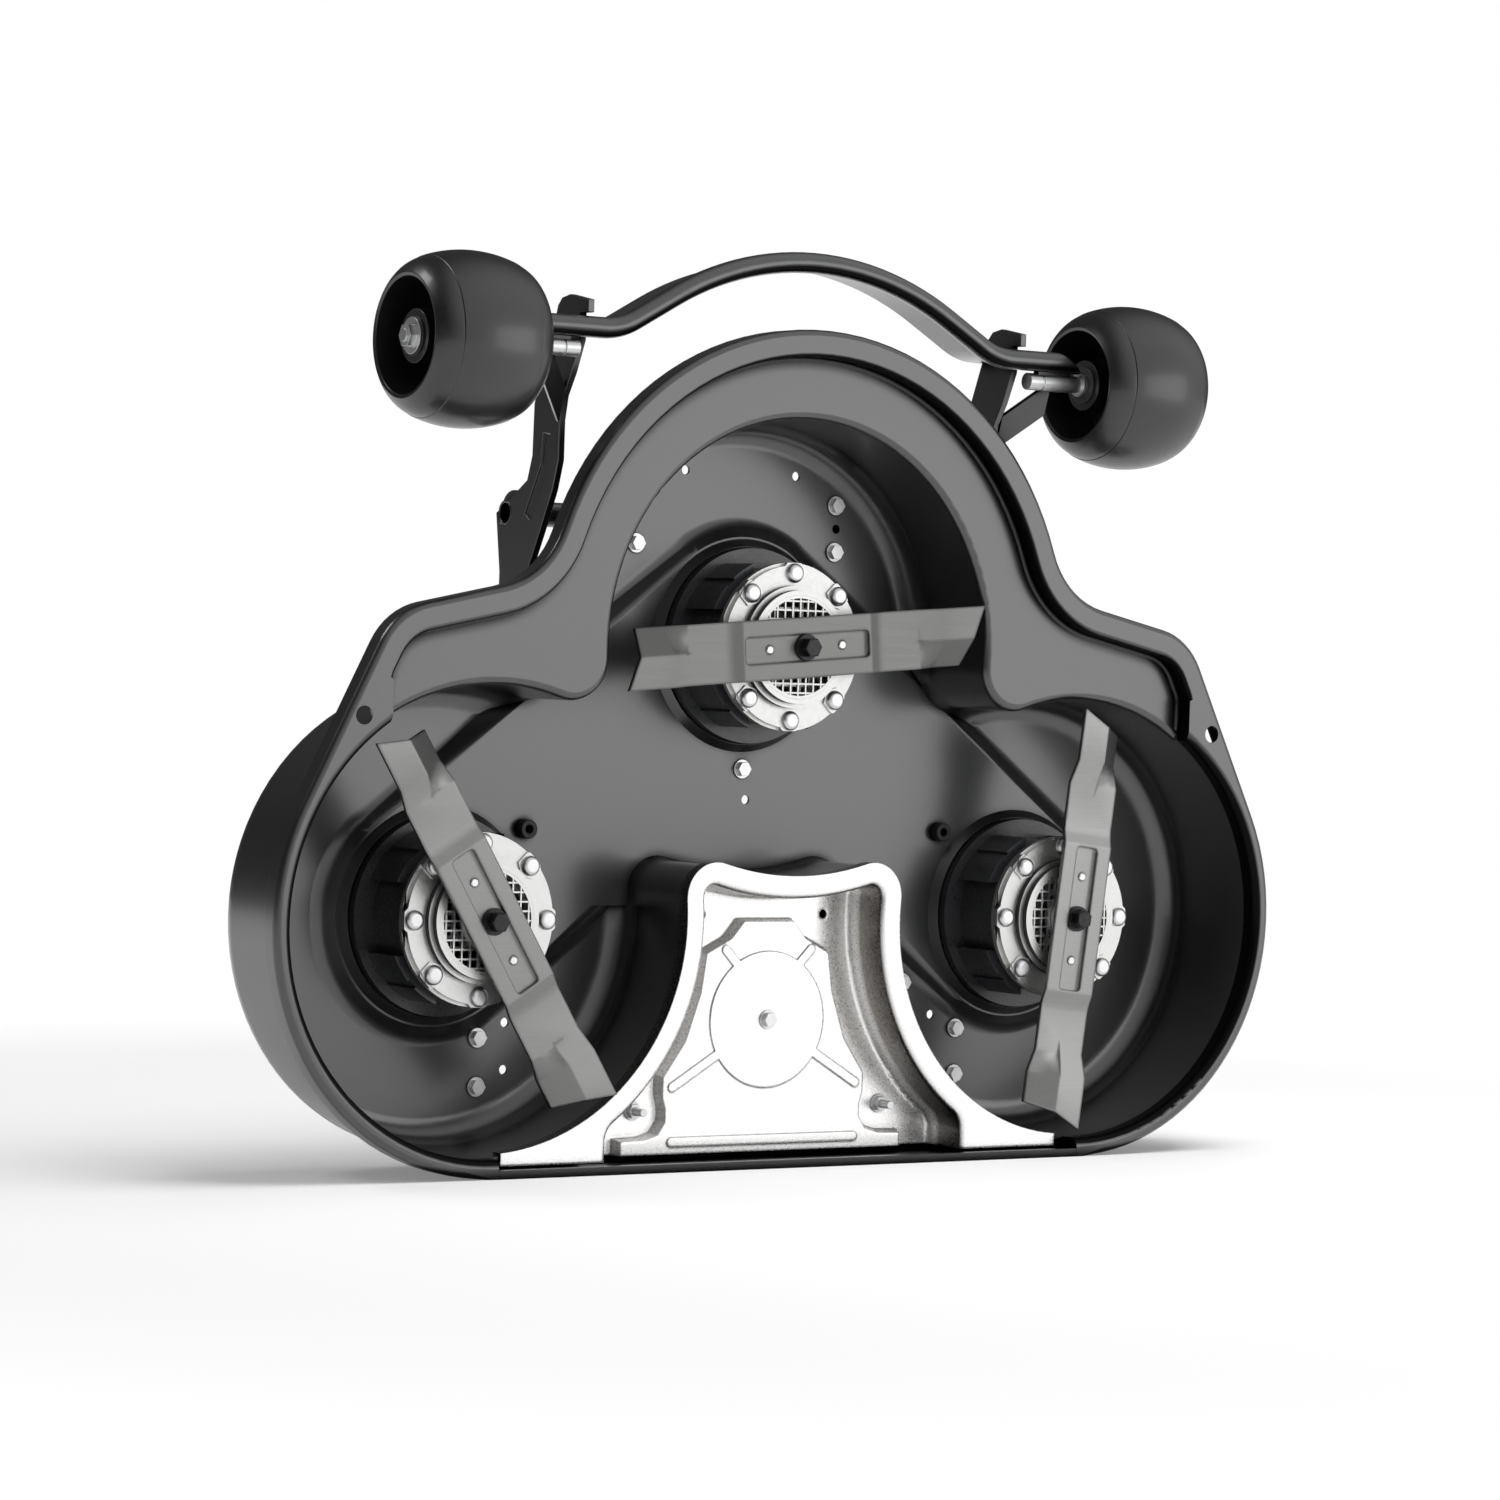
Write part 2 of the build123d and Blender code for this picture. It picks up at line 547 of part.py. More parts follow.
with BuildPart() as motor_housing:
    with BuildSketch(facing(BOSS_FACE)):
        Circle(COLLAR_R)
    extrude(amount=COLLAR_THICK)
    with BuildSketch(facing(COLLAR_FACE)):
        Circle(HOUSING_R)
    extrude(amount=COLLAR_FACE - FLANGE_BACK)
    with BuildSketch(facing(COLLAR_FACE)):
        Circle(HOUSING_R + TOOTH_HEIGHT)
        with PolarLocations(HOUSING_R + TOOTH_HEIGHT, 4):
            Rectangle(4 * TOOTH_HEIGHT, TOOTH_GAP, mode=Mode.SUBTRACT)
        with PolarLocations(HOUSING_R + TOOTH_HEIGHT, 4, start_angle=45):
            Rectangle(TOOTH_HEIGHT / 2, TOOTH_HEIGHT, mode=Mode.SUBTRACT)
        Circle(HOUSING_R)
    extrude(amount=COLLAR_FACE - FLANGE_BACK - COLLAR_THICK)
    with BuildSketch(facing(SPIGOT_BACK)):
        Circle(SPIGOT_R)
    extrude(amount=SPIGOT_BACK - BOSS_FACE)
    with BuildSketch(facing(COLLAR_FACE)):
        Circle(HOUSING_BORE)
    extrude(amount=COLLAR_FACE, mode=Mode.SUBTRACT)
    with BuildSketch(facing(SPIGOT_BACK - SHEET)):
        Circle(SPIGOT_BORE)
    extrude(amount=SPIGOT_BACK - SHEET - COLLAR_FACE, mode=Mode.SUBTRACT)
    with BuildSketch(facing(FLANGE_BACK + FLANGE_THICK)):
        with PolarLocations(FLANGE_PCD_R, FLANGE_BOLTS):
            Circle(BOLT_R)
    extrude(amount=FLANGE_THICK, mode=Mode.SUBTRACT)
    chamfer(motor_housing.faces().sort_by(Axis.Y)[-1].edges(), SHEET)

with BuildPart() as motor_flange:
    with BuildSketch(facing(FLANGE_BACK)):
        Circle(FLANGE_R)
        with PolarLocations(FLANGE_R, 2):
            RectangleRounded(TOOTH_HEIGHT * 0.6, TOOTH_GAP * 0.8, TOOTH_HEIGHT / 4)
    extrude(amount=FLANGE_THICK / 2)
    with BuildSketch(facing(FLANGE_BACK - FLANGE_THICK / 2)):
        Circle(FLANGE_R - SHEET)
        with PolarLocations(FLANGE_PCD_R, FLANGE_BOLTS):
            Circle(FLANGE_BOLT_HEAD_R + SHEET)
    extrude(amount=FLANGE_THICK / 2)
    with BuildSketch(facing(FLANGE_FACE)):
        with PolarLocations(FLANGE_PCD_R, FLANGE_BOLTS // 2, start_angle=360 / FLANGE_BOLTS):
            RegularPolygon(FLANGE_BOLT_HEAD_R + SHEET / 2, 6, major_radius=False)
    extrude(amount=FLANGE_PAD)
    with BuildSketch(facing(FLANGE_FACE)):
        Circle(FLANGE_BORE + COLLAR_THICK)
    extrude(amount=FLANGE_NECK / 2)
    with BuildSketch(facing(FLANGE_FACE - FLANGE_NECK / 2)):
        Circle(FLANGE_BORE + COLLAR_THICK / 2)
    extrude(amount=FLANGE_NECK / 2)
    with BuildSketch(facing(FLANGE_BACK)):
        Circle(FLANGE_BORE)
        with PolarLocations(FLANGE_PCD_R, FLANGE_BOLTS):
            Circle(BOLT_R)
    extrude(amount=FLANGE_THICK + FLANGE_NECK, mode=Mode.SUBTRACT)

with BuildPart() as flange_bolts:
    for level, start in ((FLANGE_FACE, 0), (FLANGE_FACE - FLANGE_PAD, 360 / FLANGE_BOLTS)):
        with BuildSketch(facing(level)):
            with PolarLocations(FLANGE_PCD_R, FLANGE_BOLTS // 2, start_angle=start):
                Circle(FLANGE_BOLT_HEAD_R)
        extrude(amount=HEX_HEIGHT)
        top = level - HEX_HEIGHT
        crowns = flange_bolts.edges().filter_by_position(Axis.Y, top - 0.01, top + 0.01)
        fillet(crowns, HEX_HEIGHT * 0.85)
        with BuildSketch(facing(FLANGE_BACK + FLANGE_THICK)):
            with PolarLocations(FLANGE_PCD_R, FLANGE_BOLTS // 2, start_angle=start):
                Circle(BOLT_R)
        extrude(amount=FLANGE_BACK + FLANGE_THICK - level)

with BuildPart() as motor_grille:
    with BuildSketch(facing(FLANGE_BACK)):
        Circle(FLANGE_BORE)
    extrude(amount=FLANGE_THICK + FLANGE_NECK)
    with BuildSketch(facing(FLANGE_BACK - GRILLE_THICK)):
        Circle(FLANGE_BORE - GRILLE_THICK)
    extrude(amount=FLANGE_THICK + FLANGE_NECK - 2 * GRILLE_THICK, mode=Mode.SUBTRACT)
    with BuildSketch(facing(FLANGE_BACK)):
        with GridLocations(GRILLE_PITCH, GRILLE_PITCH, 9, 9):
            Rectangle(GRILLE_PITCH - GRILLE_BAR, GRILLE_PITCH - GRILLE_BAR)
        Circle(FLANGE_BORE - GRILLE_THICK, mode=Mode.INTERSECT)
        Circle(BEARING_R + 5, mode=Mode.SUBTRACT)
    extrude(amount=FLANGE_THICK + FLANGE_NECK, mode=Mode.SUBTRACT)
    with BuildSketch(facing(FLANGE_FACE)):
        Circle(BEARING_R + 3)
    extrude(amount=FLANGE_NECK, mode=Mode.SUBTRACT)
    with BuildSketch(facing(FLANGE_BACK + BEARING_WIDTH - GRILLE_THICK)):
        Circle(BEARING_R + 5)
    extrude(amount=BEARING_WIDTH)
    with BuildSketch(facing(FLANGE_BACK + BEARING_WIDTH)):
        Circle(BEARING_R)
    extrude(amount=2 * BEARING_WIDTH, mode=Mode.SUBTRACT)

with BuildPart() as bearing:
    with BuildSketch(facing(FLANGE_BACK + BEARING_WIDTH - GRILLE_THICK)):
        Circle(BEARING_R)
        Circle(SHAFT_R + RUNNING, mode=Mode.SUBTRACT)
    extrude(amount=BEARING_WIDTH)

WINDING_FRONT = FLANGE_BACK + FLANGE_THICK + 6.0
WINDING_BACK = COLLAR_FACE - 6.0
AIR_GAP_R = HOUSING_BORE * 0.62
with BuildPart() as stator:
    with BuildSketch(facing(WINDING_BACK)):
        Circle(HOUSING_BORE)
        Circle(AIR_GAP_R + 1, mode=Mode.SUBTRACT)
    extrude(amount=WINDING_BACK - WINDING_FRONT)

with BuildPart() as rotor:
    with BuildSketch(facing(WINDING_BACK)):
        Circle(AIR_GAP_R)
        Circle(SHAFT_R, mode=Mode.SUBTRACT)
    extrude(amount=WINDING_BACK - WINDING_FRONT)

with BuildPart() as motor_shaft:
    with BuildSketch(facing(SPIGOT_BACK - 3 * SHEET)):
        Circle(SHAFT_R)
    extrude(amount=SPIGOT_BACK - 3 * SHEET - SHAFT_FRONT)
    with BuildSketch(facing(HUB_BACK)):
        Circle(BOLT_SHANK_R)
    extrude(amount=HUB_BACK, mode=Mode.SUBTRACT)

with BuildPart() as blade_hub:
    with BuildSketch(facing(HUB_BACK)):
        Circle(BEARING_R + 1)
    extrude(amount=HUB_BACK - BLADE_BACK)
    with BuildSketch(facing(HUB_BACK)):
        Circle(SHAFT_R)
    extrude(amount=HUB_BACK - SHAFT_FRONT, mode=Mode.SUBTRACT)
    with BuildSketch(facing(SHAFT_FRONT)):
        Circle(BOLT_SHANK_R)
    extrude(amount=SHAFT_FRONT, mode=Mode.SUBTRACT)

# Blade: a flat bar with a raised pad round a sunk channel. Each tip dips in front and turns up behind.
blade_r = BLADE_LENGTH / 2
half_width = BLADE_WIDTH / 2
pad_r = blade_r * 0.352
ramp_r = blade_r * 0.42
dip_r = blade_r * 0.638
tip_r = blade_r * 0.748
fold = -half_width * 0.07
front_line = [(-dip_r, BLADE_SEAT), (-ramp_r, BLADE_SEAT), (-pad_r, BLADE_FACE)]
front_line += [(-x, y) for x, y in reversed(front_line)]
level_front = [(half_width, BLADE_SEAT), (fold, BLADE_SEAT), (-half_width, BLADE_SEAT)]
dipped = BLADE_SEAT - BLADE_DIP
tip_front = [(half_width, dipped), (fold, dipped), (-half_width, BLADE_SEAT + BLADE_WING)]
tip_plan = [(blade_r * 0.9905, half_width), (blade_r * 0.922, fold), (blade_r * 0.893, -half_width)]


def strip(front):
    """The section of a sheet, whose own axes are across the blade and towards the viewer."""
    behind = [(v, y + BLADE_THICK) for v, y in reversed(front)]
    with BuildSketch() as section:
        with BuildLine():
            Polyline(*[(v, -y) for v, y in front + behind], close=True)
        make_face()
    return section.sketch_local


with BuildPart() as blade:
    with BuildSketch(Plane(origin=(0, 0, -half_width), x_dir=(1, 0, 0), z_dir=(0, 0, 1))):
        with BuildLine():
            Polyline(*front_line, *[(x, y + BLADE_THICK) for x, y in reversed(front_line)], close=True)
        make_face()
    extrude(amount=BLADE_WIDTH)
    with BuildSketch(facing(BLADE_BACK)):
        Rectangle(2 * pad_r, BLADE_CHANNEL + 2 * BLADE_THICK)
    extrude(amount=BLADE_BACK - BLADE_FACE)
    for turn in (0, 180):
        end = Plane(origin=(0, 0, 0), x_dir=(0, 0, 1), z_dir=(1, 0, 0)).rotated((0, turn, 0))
        for panel in (slice(0, 2), slice(1, 3)):
            with BuildSketch(end.offset(dip_r)):
                add(strip(level_front[panel]))
            with BuildSketch(end.offset(tip_r)):
                add(strip(tip_front[panel]))
            loft(ruled=True)
        with BuildSketch(end.offset(tip_r)):
            add(strip(tip_front))
        extrude(amount=blade_r - tip_r)
    with BuildSketch(facing(BLADE_BACK + BLADE_WIDTH)):
        with BuildLine():
            Polyline(*tip_plan, *[(-x, -z) for x, z in tip_plan], close=True)
        make_face()
    extrude(amount=2 * BLADE_WIDTH, mode=Mode.INTERSECT)
    with BuildSketch(facing(BLADE_SEAT)):
        RectangleRounded(2 * pad_r - BLADE_THICK, BLADE_CHANNEL, BLADE_THICK)
    extrude(amount=BLADE_SEAT, mode=Mode.SUBTRACT)
    with BuildSketch(facing(BLADE_BACK + 1)):
        Circle(BOLT_SHANK_R)
        with Locations((-pad_r * 0.57, 0), (pad_r * 0.57, 0)):
            Circle(BOLT_R)
    extrude(amount=BLADE_BACK + 1, mode=Mode.SUBTRACT)

with BuildPart() as blade_bolt:
    with BuildSketch(facing(BLADE_SEAT)):
        Circle(BLADE_CHANNEL / 2 - CLEARANCE)
    extrude(amount=2 * WASHER_THICK)
    with BuildSketch(facing(BLADE_SEAT - 2 * WASHER_THICK)):
        RegularPolygon(HEX_FLATS * 0.65, 6, major_radius=False)
    extrude(amount=BLADE_BOLT_HEAD)
    chamfer(blade_bolt.faces().sort_by(Axis.Y)[0].edges(), SEAM)
    with BuildSketch(facing(HUB_BACK)):
        Circle(BOLT_SHANK_R)
    extrude(amount=HUB_BACK - BLADE_SEAT)

still_pieces = {
    "motor_housing": motor_housing,
    "motor_flange": motor_flange,
    "flange_bolts": flange_bolts,
    "motor_grille": motor_grille,
    "bearing": bearing,
    "stator": stator,
}
spinning_pieces = {
    "rotor": rotor,
    "motor_shaft": motor_shaft,
    "blade_hub": blade_hub,
    "blade": blade,
    "blade_bolt": blade_bolt,
}
for hub, (hub_x, hub_z) in HUBS.items():
    for name, piece in (still_pieces | spinning_pieces).items():
        turn = BLADE_ANGLES[hub] if name in spinning_pieces else 0.0
        with BuildPart() as placed:
            with Locations(Location((hub_x, 0, hub_z), (0, -turn, 0))):
                add(piece.part)
        save(placed, f"{hub}_{name}")

# Bumper: a tube with straight ends, two bends and an arch, and a curved sheet along the arch behind it.
arch_z = ARCH_TOP_Z - ARCH_R
arch_end_x = ARCH_R * sin(radians(ARCH_HALF_ANGLE))
arch_end_z = arch_z + ARCH_R * cos(radians(ARCH_HALF_ANGLE))
bend_x = arch_end_x + (arch_end_z - TUBE_Z) / tan(radians(ARCH_HALF_ANGLE))
with BuildPart() as bumper_tube:
    with BuildLine(facing(TUBE_Y)) as tube_line:
        left_end = (-TUBE_HALF, TUBE_Z)
        FilletPolyline(left_end, (-bend_x, TUBE_Z), (-arch_end_x, arch_end_z), radius=TUBE_BEND_R)
        ThreePointArc((-arch_end_x, arch_end_z), (0, ARCH_TOP_Z), (arch_end_x, arch_end_z))
        right_end = (TUBE_HALF, TUBE_Z)
        FilletPolyline((arch_end_x, arch_end_z), (bend_x, TUBE_Z), right_end, radius=TUBE_BEND_R)
    with BuildSketch(across(-TUBE_HALF, TUBE_Y, TUBE_Z)):
        Circle(TUBE_R)
        Circle(TUBE_R - TUBE_WALL, mode=Mode.SUBTRACT)
    sweep()
    for side in SIDES.values():
        with BuildSketch(facing(TUBE_Y + 2 * TUBE_R)):
            with BuildLine():
                Polyline(
                    (side * TUBE_HALF, TUBE_Z - TUBE_R),
                    (side * (TUBE_HALF - MITRE), TUBE_Z + TUBE_R),
                    (side * TUBE_HALF, TUBE_Z + TUBE_R),
                    close=True,
                )
            make_face()
        extrude(amount=4 * TUBE_R, mode=Mode.SUBTRACT)
save(bumper_tube, "bumper_tube")

with BuildPart() as bumper_sheet:
    with BuildSketch(facing(TUBE_Y + TUBE_R + BUMPER_SHEET_DEPTH)):
        with BuildLine() as sheet_line:
            left_end = (-ARM_X, TUBE_Z)
            FilletPolyline(left_end, (-bend_x, TUBE_Z), (-arch_end_x, arch_end_z), radius=TUBE_BEND_R)
            ThreePointArc((-arch_end_x, arch_end_z), (0, ARCH_TOP_Z), (arch_end_x, arch_end_z))
            right_end = (ARM_X, TUBE_Z)
            FilletPolyline((arch_end_x, arch_end_z), (bend_x, TUBE_Z), right_end, radius=TUBE_BEND_R)
        trace(sheet_line.line, BUMPER_SHEET)
    extrude(amount=BUMPER_SHEET_DEPTH)
save(bumper_sheet, "bumper_sheet")

with BuildPart() as cross_tube:
    with BuildSketch(across(-ARM_X - ARM_THICK, CROSS_Y, CROSS_Z)):
        Circle(CROSS_R)
        Circle(CROSS_R - TUBE_WALL, mode=Mode.SUBTRACT)
    extrude(amount=2 * ARM_X + 2 * ARM_THICK)
save(cross_tube, "cross_tube")

# Arm outline (y, z): a plate from the hook over the bumper tube down past the cross tube.
arm_front = [
    (TUBE_Y - 3, TUBE_Z + 13.3),
    (TUBE_Y + TUBE_R, TUBE_Z + 13.3),
    (TUBE_Y + TUBE_R, TUBE_Z - 12),
    (TUBE_Y + 24, TUBE_Z - 42),
    (TUBE_Y + 37, TUBE_Z - 63),
    (TUBE_Y + 42, TUBE_Z - 86),
    (TUBE_Y + 42, TUBE_Z - 123),
    (TUBE_Y + 51, TUBE_Z - 151),
    (TUBE_Y + 70, TUBE_Z - 188),
    (CROSS_Y - 46, CROSS_Z - 53),
    (CROSS_Y - 38, CROSS_Z - 74),
]
arm_back = [
    (CROSS_Y + 4, CROSS_Z - 74),
    (CROSS_Y + CROSS_R + 4, CROSS_Z),
    (CROSS_Y - 14, CROSS_Z + 16),
    (TUBE_Y + 97, TUBE_Z - 141),
    (TUBE_Y + 89, TUBE_Z - 118),
    (TUBE_Y + 88, TUBE_Z - 69),
    (TUBE_Y + 73, TUBE_Z - 32),
    (TUBE_Y + 63, TUBE_Z - 8),
    (TUBE_Y + 54, TUBE_Z + 13),
    (TUBE_Y + 51, TUBE_Z + 22),
    (TUBE_Y + 44, TUBE_Z + 29),
    (TUBE_Y + 30, TUBE_Z + 31.5),
    (TUBE_Y - 3, TUBE_Z + 25.5),
]
groove_low = (TUBE_Y + 94, TUBE_Z - 176)
groove_knee = (TUBE_Y + 67, TUBE_Z - 130)
groove_high = (TUBE_Y + 64, TUBE_Z - 98)
with BuildPart() as arm:
    with BuildSketch(across(0)):
        with BuildLine():
            Polyline(*arm_front, *arm_back, close=True)
        make_face()
        with Locations((CROSS_Y, CROSS_Z)):
            Circle(CROSS_R, mode=Mode.SUBTRACT)
    extrude(amount=ARM_THICK)
    with BuildSketch(across(ARM_THICK)):
        with BuildLine() as groove:
            FilletPolyline(groove_low, groove_knee, groove_high, radius=CROSS_R)
        trace(groove.line, CROSS_R)
    extrude(amount=-ARM_THICK / 4, mode=Mode.SUBTRACT)

# Brace: a strap welded to the arm's outer face, which leans out and forward to the axle, and its weld.
brace_foot = [
    (TUBE_Y + 43, TUBE_Z - 88),
    (TUBE_Y + 32.5, TUBE_Z - 55),
    (TUBE_Y + 32.5 + BRACE_SHEET, TUBE_Z - 53.5),
    (TUBE_Y + 43 + BRACE_SHEET, TUBE_Z - 86.5),
]
arm_outside = ARM_X + ARM_THICK
weld_middle = ((TUBE_Y + WHEEL_Y) / 2, (TUBE_Z + WHEEL_Z) / 2)
weld_lean = degrees(atan2(WHEEL_Y - TUBE_Y, TUBE_Z - WHEEL_Z))
with BuildPart() as axle_brace:
    with BuildSketch(across(arm_outside)):
        with BuildLine():
            Polyline(*brace_foot, close=True)
        make_face()
    extrude(amount=3 * TUBE_ABOVE_AXLE, dir=(0.612, -0.517, 0.598))
    with BuildSketch(across(AXLE_INNER_X + TUBE_R)):
        with Locations(Location(weld_middle, weld_lean)):
            Rectangle(AXLE_R, TUBE_ABOVE_AXLE)
    extrude(amount=4 * TUBE_R)
    with BuildSketch(across(ARM_X)):
        with Locations((TUBE_Y, TUBE_Z)):
            Circle(TUBE_R)
        with Locations((WHEEL_Y, WHEEL_Z)):
            Circle(AXLE_R)
    extrude(amount=WHEEL_X - ARM_X, mode=Mode.SUBTRACT)

BRACKET_FOOT_FACE = PLATEAU_FACE + SHEET
BRACKET_X = ARM_X - 2 - BRACKET_SHEET
BRACKET_BACK = CROSS_Y + CROSS_R + CROSS_RING
foot_x = BRACKET_X + (BRACKET_SHEET - BRACKET_FOOT_WIDTH) / 2
foot_z = (BRACKET_FOOT_LOW + BRACKET_FOOT_HIGH) / 2
with BuildPart() as bracket:
    with BuildSketch(across(BRACKET_X)):
        with BuildLine():
            Polyline(
                (BRACKET_FOOT_FACE, BRACKET_FOOT_LOW),
                (BRACKET_FOOT_FACE, BRACKET_FOOT_HIGH),
                (DECK_BACK + 4, BRACKET_FOOT_HIGH + 24),
                (DECK_BACK + 4, CROSS_Z),
                (BRACKET_BACK, CROSS_Z),
                (BRACKET_BACK, BRACKET_FOOT_HIGH),
                close=True,
            )
        make_face()
        with Locations((CROSS_Y, CROSS_Z)):
            Circle(CROSS_R + CROSS_RING)
    extrude(amount=BRACKET_SHEET)
    with BuildSketch(facing(BRACKET_FOOT_FACE + BRACKET_SHEET)):
        with Locations((foot_x, foot_z)):
            Rectangle(BRACKET_FOOT_WIDTH + BRACKET_SHEET, BRACKET_FOOT_HIGH - BRACKET_FOOT_LOW)
    extrude(amount=BRACKET_SHEET)
    with BuildSketch(across(BRACKET_X, CROSS_Y, CROSS_Z)):
        Circle(CROSS_R)
    extrude(amount=BRACKET_SHEET, mode=Mode.SUBTRACT)

# Wheel, bushes, axle and nut, drawn round the X axis.
half = WHEEL_WIDTH / 2
seam_x = half - WHEEL_SHOULDER
seam_r = WHEEL_R - WHEEL_CROWN
with BuildPart() as wheel:
    with BuildSketch(Plane.XY):
        with BuildLine():
            ThreePointArc((-seam_x + SEAM, seam_r), (0, WHEEL_R), (seam_x - SEAM, seam_r))
            Polyline((seam_x - SEAM, seam_r), (seam_x - SEAM, seam_r - SEAM), (seam_x, seam_r - SEAM))
            RadiusArc((seam_x, seam_r - SEAM), (half, WHEEL_END_R), 1.75 * WHEEL_SHOULDER)
            Polyline(
                (half, WHEEL_END_R),
                (half - SEAM, WHEEL_HOLLOW_R),
                (WHEEL_WEB / 2, WHEEL_HOLLOW_R - 4),
                (WHEEL_WEB / 2, WHEEL_HUB_R),
                (HUB_HALF, WHEEL_HUB_R - 1),
                (HUB_HALF, BUSH_R),
                (-HUB_HALF, BUSH_R),
                (-HUB_HALF, WHEEL_HUB_R - 1),
                (-WHEEL_WEB / 2, WHEEL_HUB_R),
                (-WHEEL_WEB / 2, WHEEL_HOLLOW_R - 4),
                (-half + SEAM, WHEEL_HOLLOW_R),
                (-half, WHEEL_END_R),
            )
            RadiusArc((-half, WHEEL_END_R), (-seam_x, seam_r - SEAM), 1.75 * WHEEL_SHOULDER)
            Polyline((-seam_x, seam_r - SEAM), (-seam_x + SEAM, seam_r - SEAM), (-seam_x + SEAM, seam_r))
        make_face()
    revolve(axis=Axis.X)

with BuildPart() as wheel_bushes:
    for end in (-1, 1):
        with BuildSketch(Plane.XY):
            with BuildLine():
                Polyline(
                    (end * (HUB_HALF + 2), AXLE_R + RUNNING),
                    (end * (HUB_HALF + 2), BUSH_R + 6),
                    (end * HUB_HALF, BUSH_R + 6),
                    (end * HUB_HALF, BUSH_R),
                    (end * HUB_HALF / 2, BUSH_R),
                    (end * HUB_HALF / 2, AXLE_R + RUNNING),
                    close=True,
                )
            make_face()
        revolve(axis=Axis.X)

nut_face = HUB_HALF + 2 + CLEARANCE
nut_end = nut_face + WASHER_THICK + 1.2 * HEX_HEIGHT
groove_x = TUBE_R + HEX_HEIGHT - AXLE_LENGTH
with BuildPart() as axle:
    with BuildSketch(across(-AXLE_LENGTH)):
        Circle(AXLE_R)
    extrude(amount=nut_face + AXLE_LENGTH)
    with BuildSketch(across(nut_face)):
        Circle(AXLE_END_R)
    extrude(amount=nut_end + WASHER_THICK - nut_face)
    with BuildSketch(across(-nut_face - HEX_HEIGHT)):
        Circle(AXLE_R + SHEET)
    extrude(amount=HEX_HEIGHT)
    with BuildSketch(across(groove_x)):
        Circle(AXLE_R)
        Circle(AXLE_R - SEAM, mode=Mode.SUBTRACT)
    extrude(amount=2 * SEAM, mode=Mode.SUBTRACT)

with BuildPart() as axle_nut:
    with BuildSketch(across(nut_face)):
        Circle(2 * AXLE_R)
    extrude(amount=WASHER_THICK)
    with BuildSketch(across(nut_face + WASHER_THICK)):
        RegularPolygon(AXLE_END_R * 1.6, 6, major_radius=False)
    extrude(amount=1.2 * HEX_HEIGHT)
    with BuildSketch(across(nut_face)):
        Circle(AXLE_END_R)
    extrude(amount=nut_end - nut_face, mode=Mode.SUBTRACT)

wheel_centre = (WHEEL_X, WHEEL_Y, WHEEL_Z)
side_pieces = {
    "arm": (arm, (ARM_X, 0, 0)),
    "bracket": (bracket, (0, 0, 0)),
    "axle_brace": (axle_brace, (0, 0, 0)),
    "wheel": (wheel, wheel_centre),
    "wheel_bushes": (wheel_bushes, wheel_centre),
    "axle": (axle, wheel_centre),
    "axle_nut": (axle_nut, wheel_centre),
}
for name, side in SIDES.items():
    for kind, (piece, place) in side_pieces.items():
        with BuildPart() as placed:
            with Locations(place):
                add(piece.part)
            if side < 0:
                mirror(placed.part, about=Plane.YZ, mode=Mode.REPLACE)
        save(placed, f"{name}_{kind}")
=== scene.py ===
"""Dresses the mower deck: it stands on its rear edge with its blades towards the viewer."""
import json
import math

import bmesh
import bpy
from mathutils import Matrix, Vector

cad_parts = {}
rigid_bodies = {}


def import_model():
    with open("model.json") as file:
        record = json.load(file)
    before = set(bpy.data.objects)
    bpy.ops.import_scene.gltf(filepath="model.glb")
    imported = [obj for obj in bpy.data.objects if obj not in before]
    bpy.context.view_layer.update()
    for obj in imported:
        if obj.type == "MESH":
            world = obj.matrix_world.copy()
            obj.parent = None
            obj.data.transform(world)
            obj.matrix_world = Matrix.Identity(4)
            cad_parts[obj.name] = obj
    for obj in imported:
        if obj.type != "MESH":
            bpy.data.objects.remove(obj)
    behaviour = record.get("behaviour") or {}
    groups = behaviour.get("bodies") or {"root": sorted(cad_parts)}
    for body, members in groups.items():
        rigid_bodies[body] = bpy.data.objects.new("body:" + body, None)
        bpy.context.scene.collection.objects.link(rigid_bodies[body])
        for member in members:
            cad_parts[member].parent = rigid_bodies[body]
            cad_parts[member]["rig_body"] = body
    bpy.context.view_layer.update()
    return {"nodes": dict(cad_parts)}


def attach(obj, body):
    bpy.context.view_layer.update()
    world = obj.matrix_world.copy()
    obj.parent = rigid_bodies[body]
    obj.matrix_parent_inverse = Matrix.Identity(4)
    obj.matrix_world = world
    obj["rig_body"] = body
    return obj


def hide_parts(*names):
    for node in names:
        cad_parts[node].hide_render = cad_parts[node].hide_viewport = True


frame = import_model()
nodes = frame["nodes"]


# Camera: a long lens, a little to the left of the deck and level with its middle.
# It is turned by a small roll, as the picture is.
VIEW_YAW, VIEW_PITCH, VIEW_ROLL = (math.radians(a) for a in (-34.01, 1.107, 1.84))
VIEW_DISTANCE = 4.5308
VIEW_LENS = 113.88
VIEW_TARGET = Vector((0.0, -0.06425, 0.3972))
VIEW_SHIFT_RIGHT, VIEW_SHIFT_UP = -0.06005, 0.00259
back = Vector((
    math.sin(VIEW_YAW) * math.cos(VIEW_PITCH),
    -math.cos(VIEW_YAW) * math.cos(VIEW_PITCH),
    math.sin(VIEW_PITCH),
))
level_right = Vector((math.cos(VIEW_YAW), math.sin(VIEW_YAW), 0.0))
level_up = back.cross(level_right)
right = level_right * math.cos(VIEW_ROLL) + level_up * math.sin(VIEW_ROLL)
up = back.cross(right)
camera = bpy.data.objects.new("camera", bpy.data.cameras.new("camera"))
camera.data.sensor_width = 36.0
camera.data.lens = VIEW_LENS
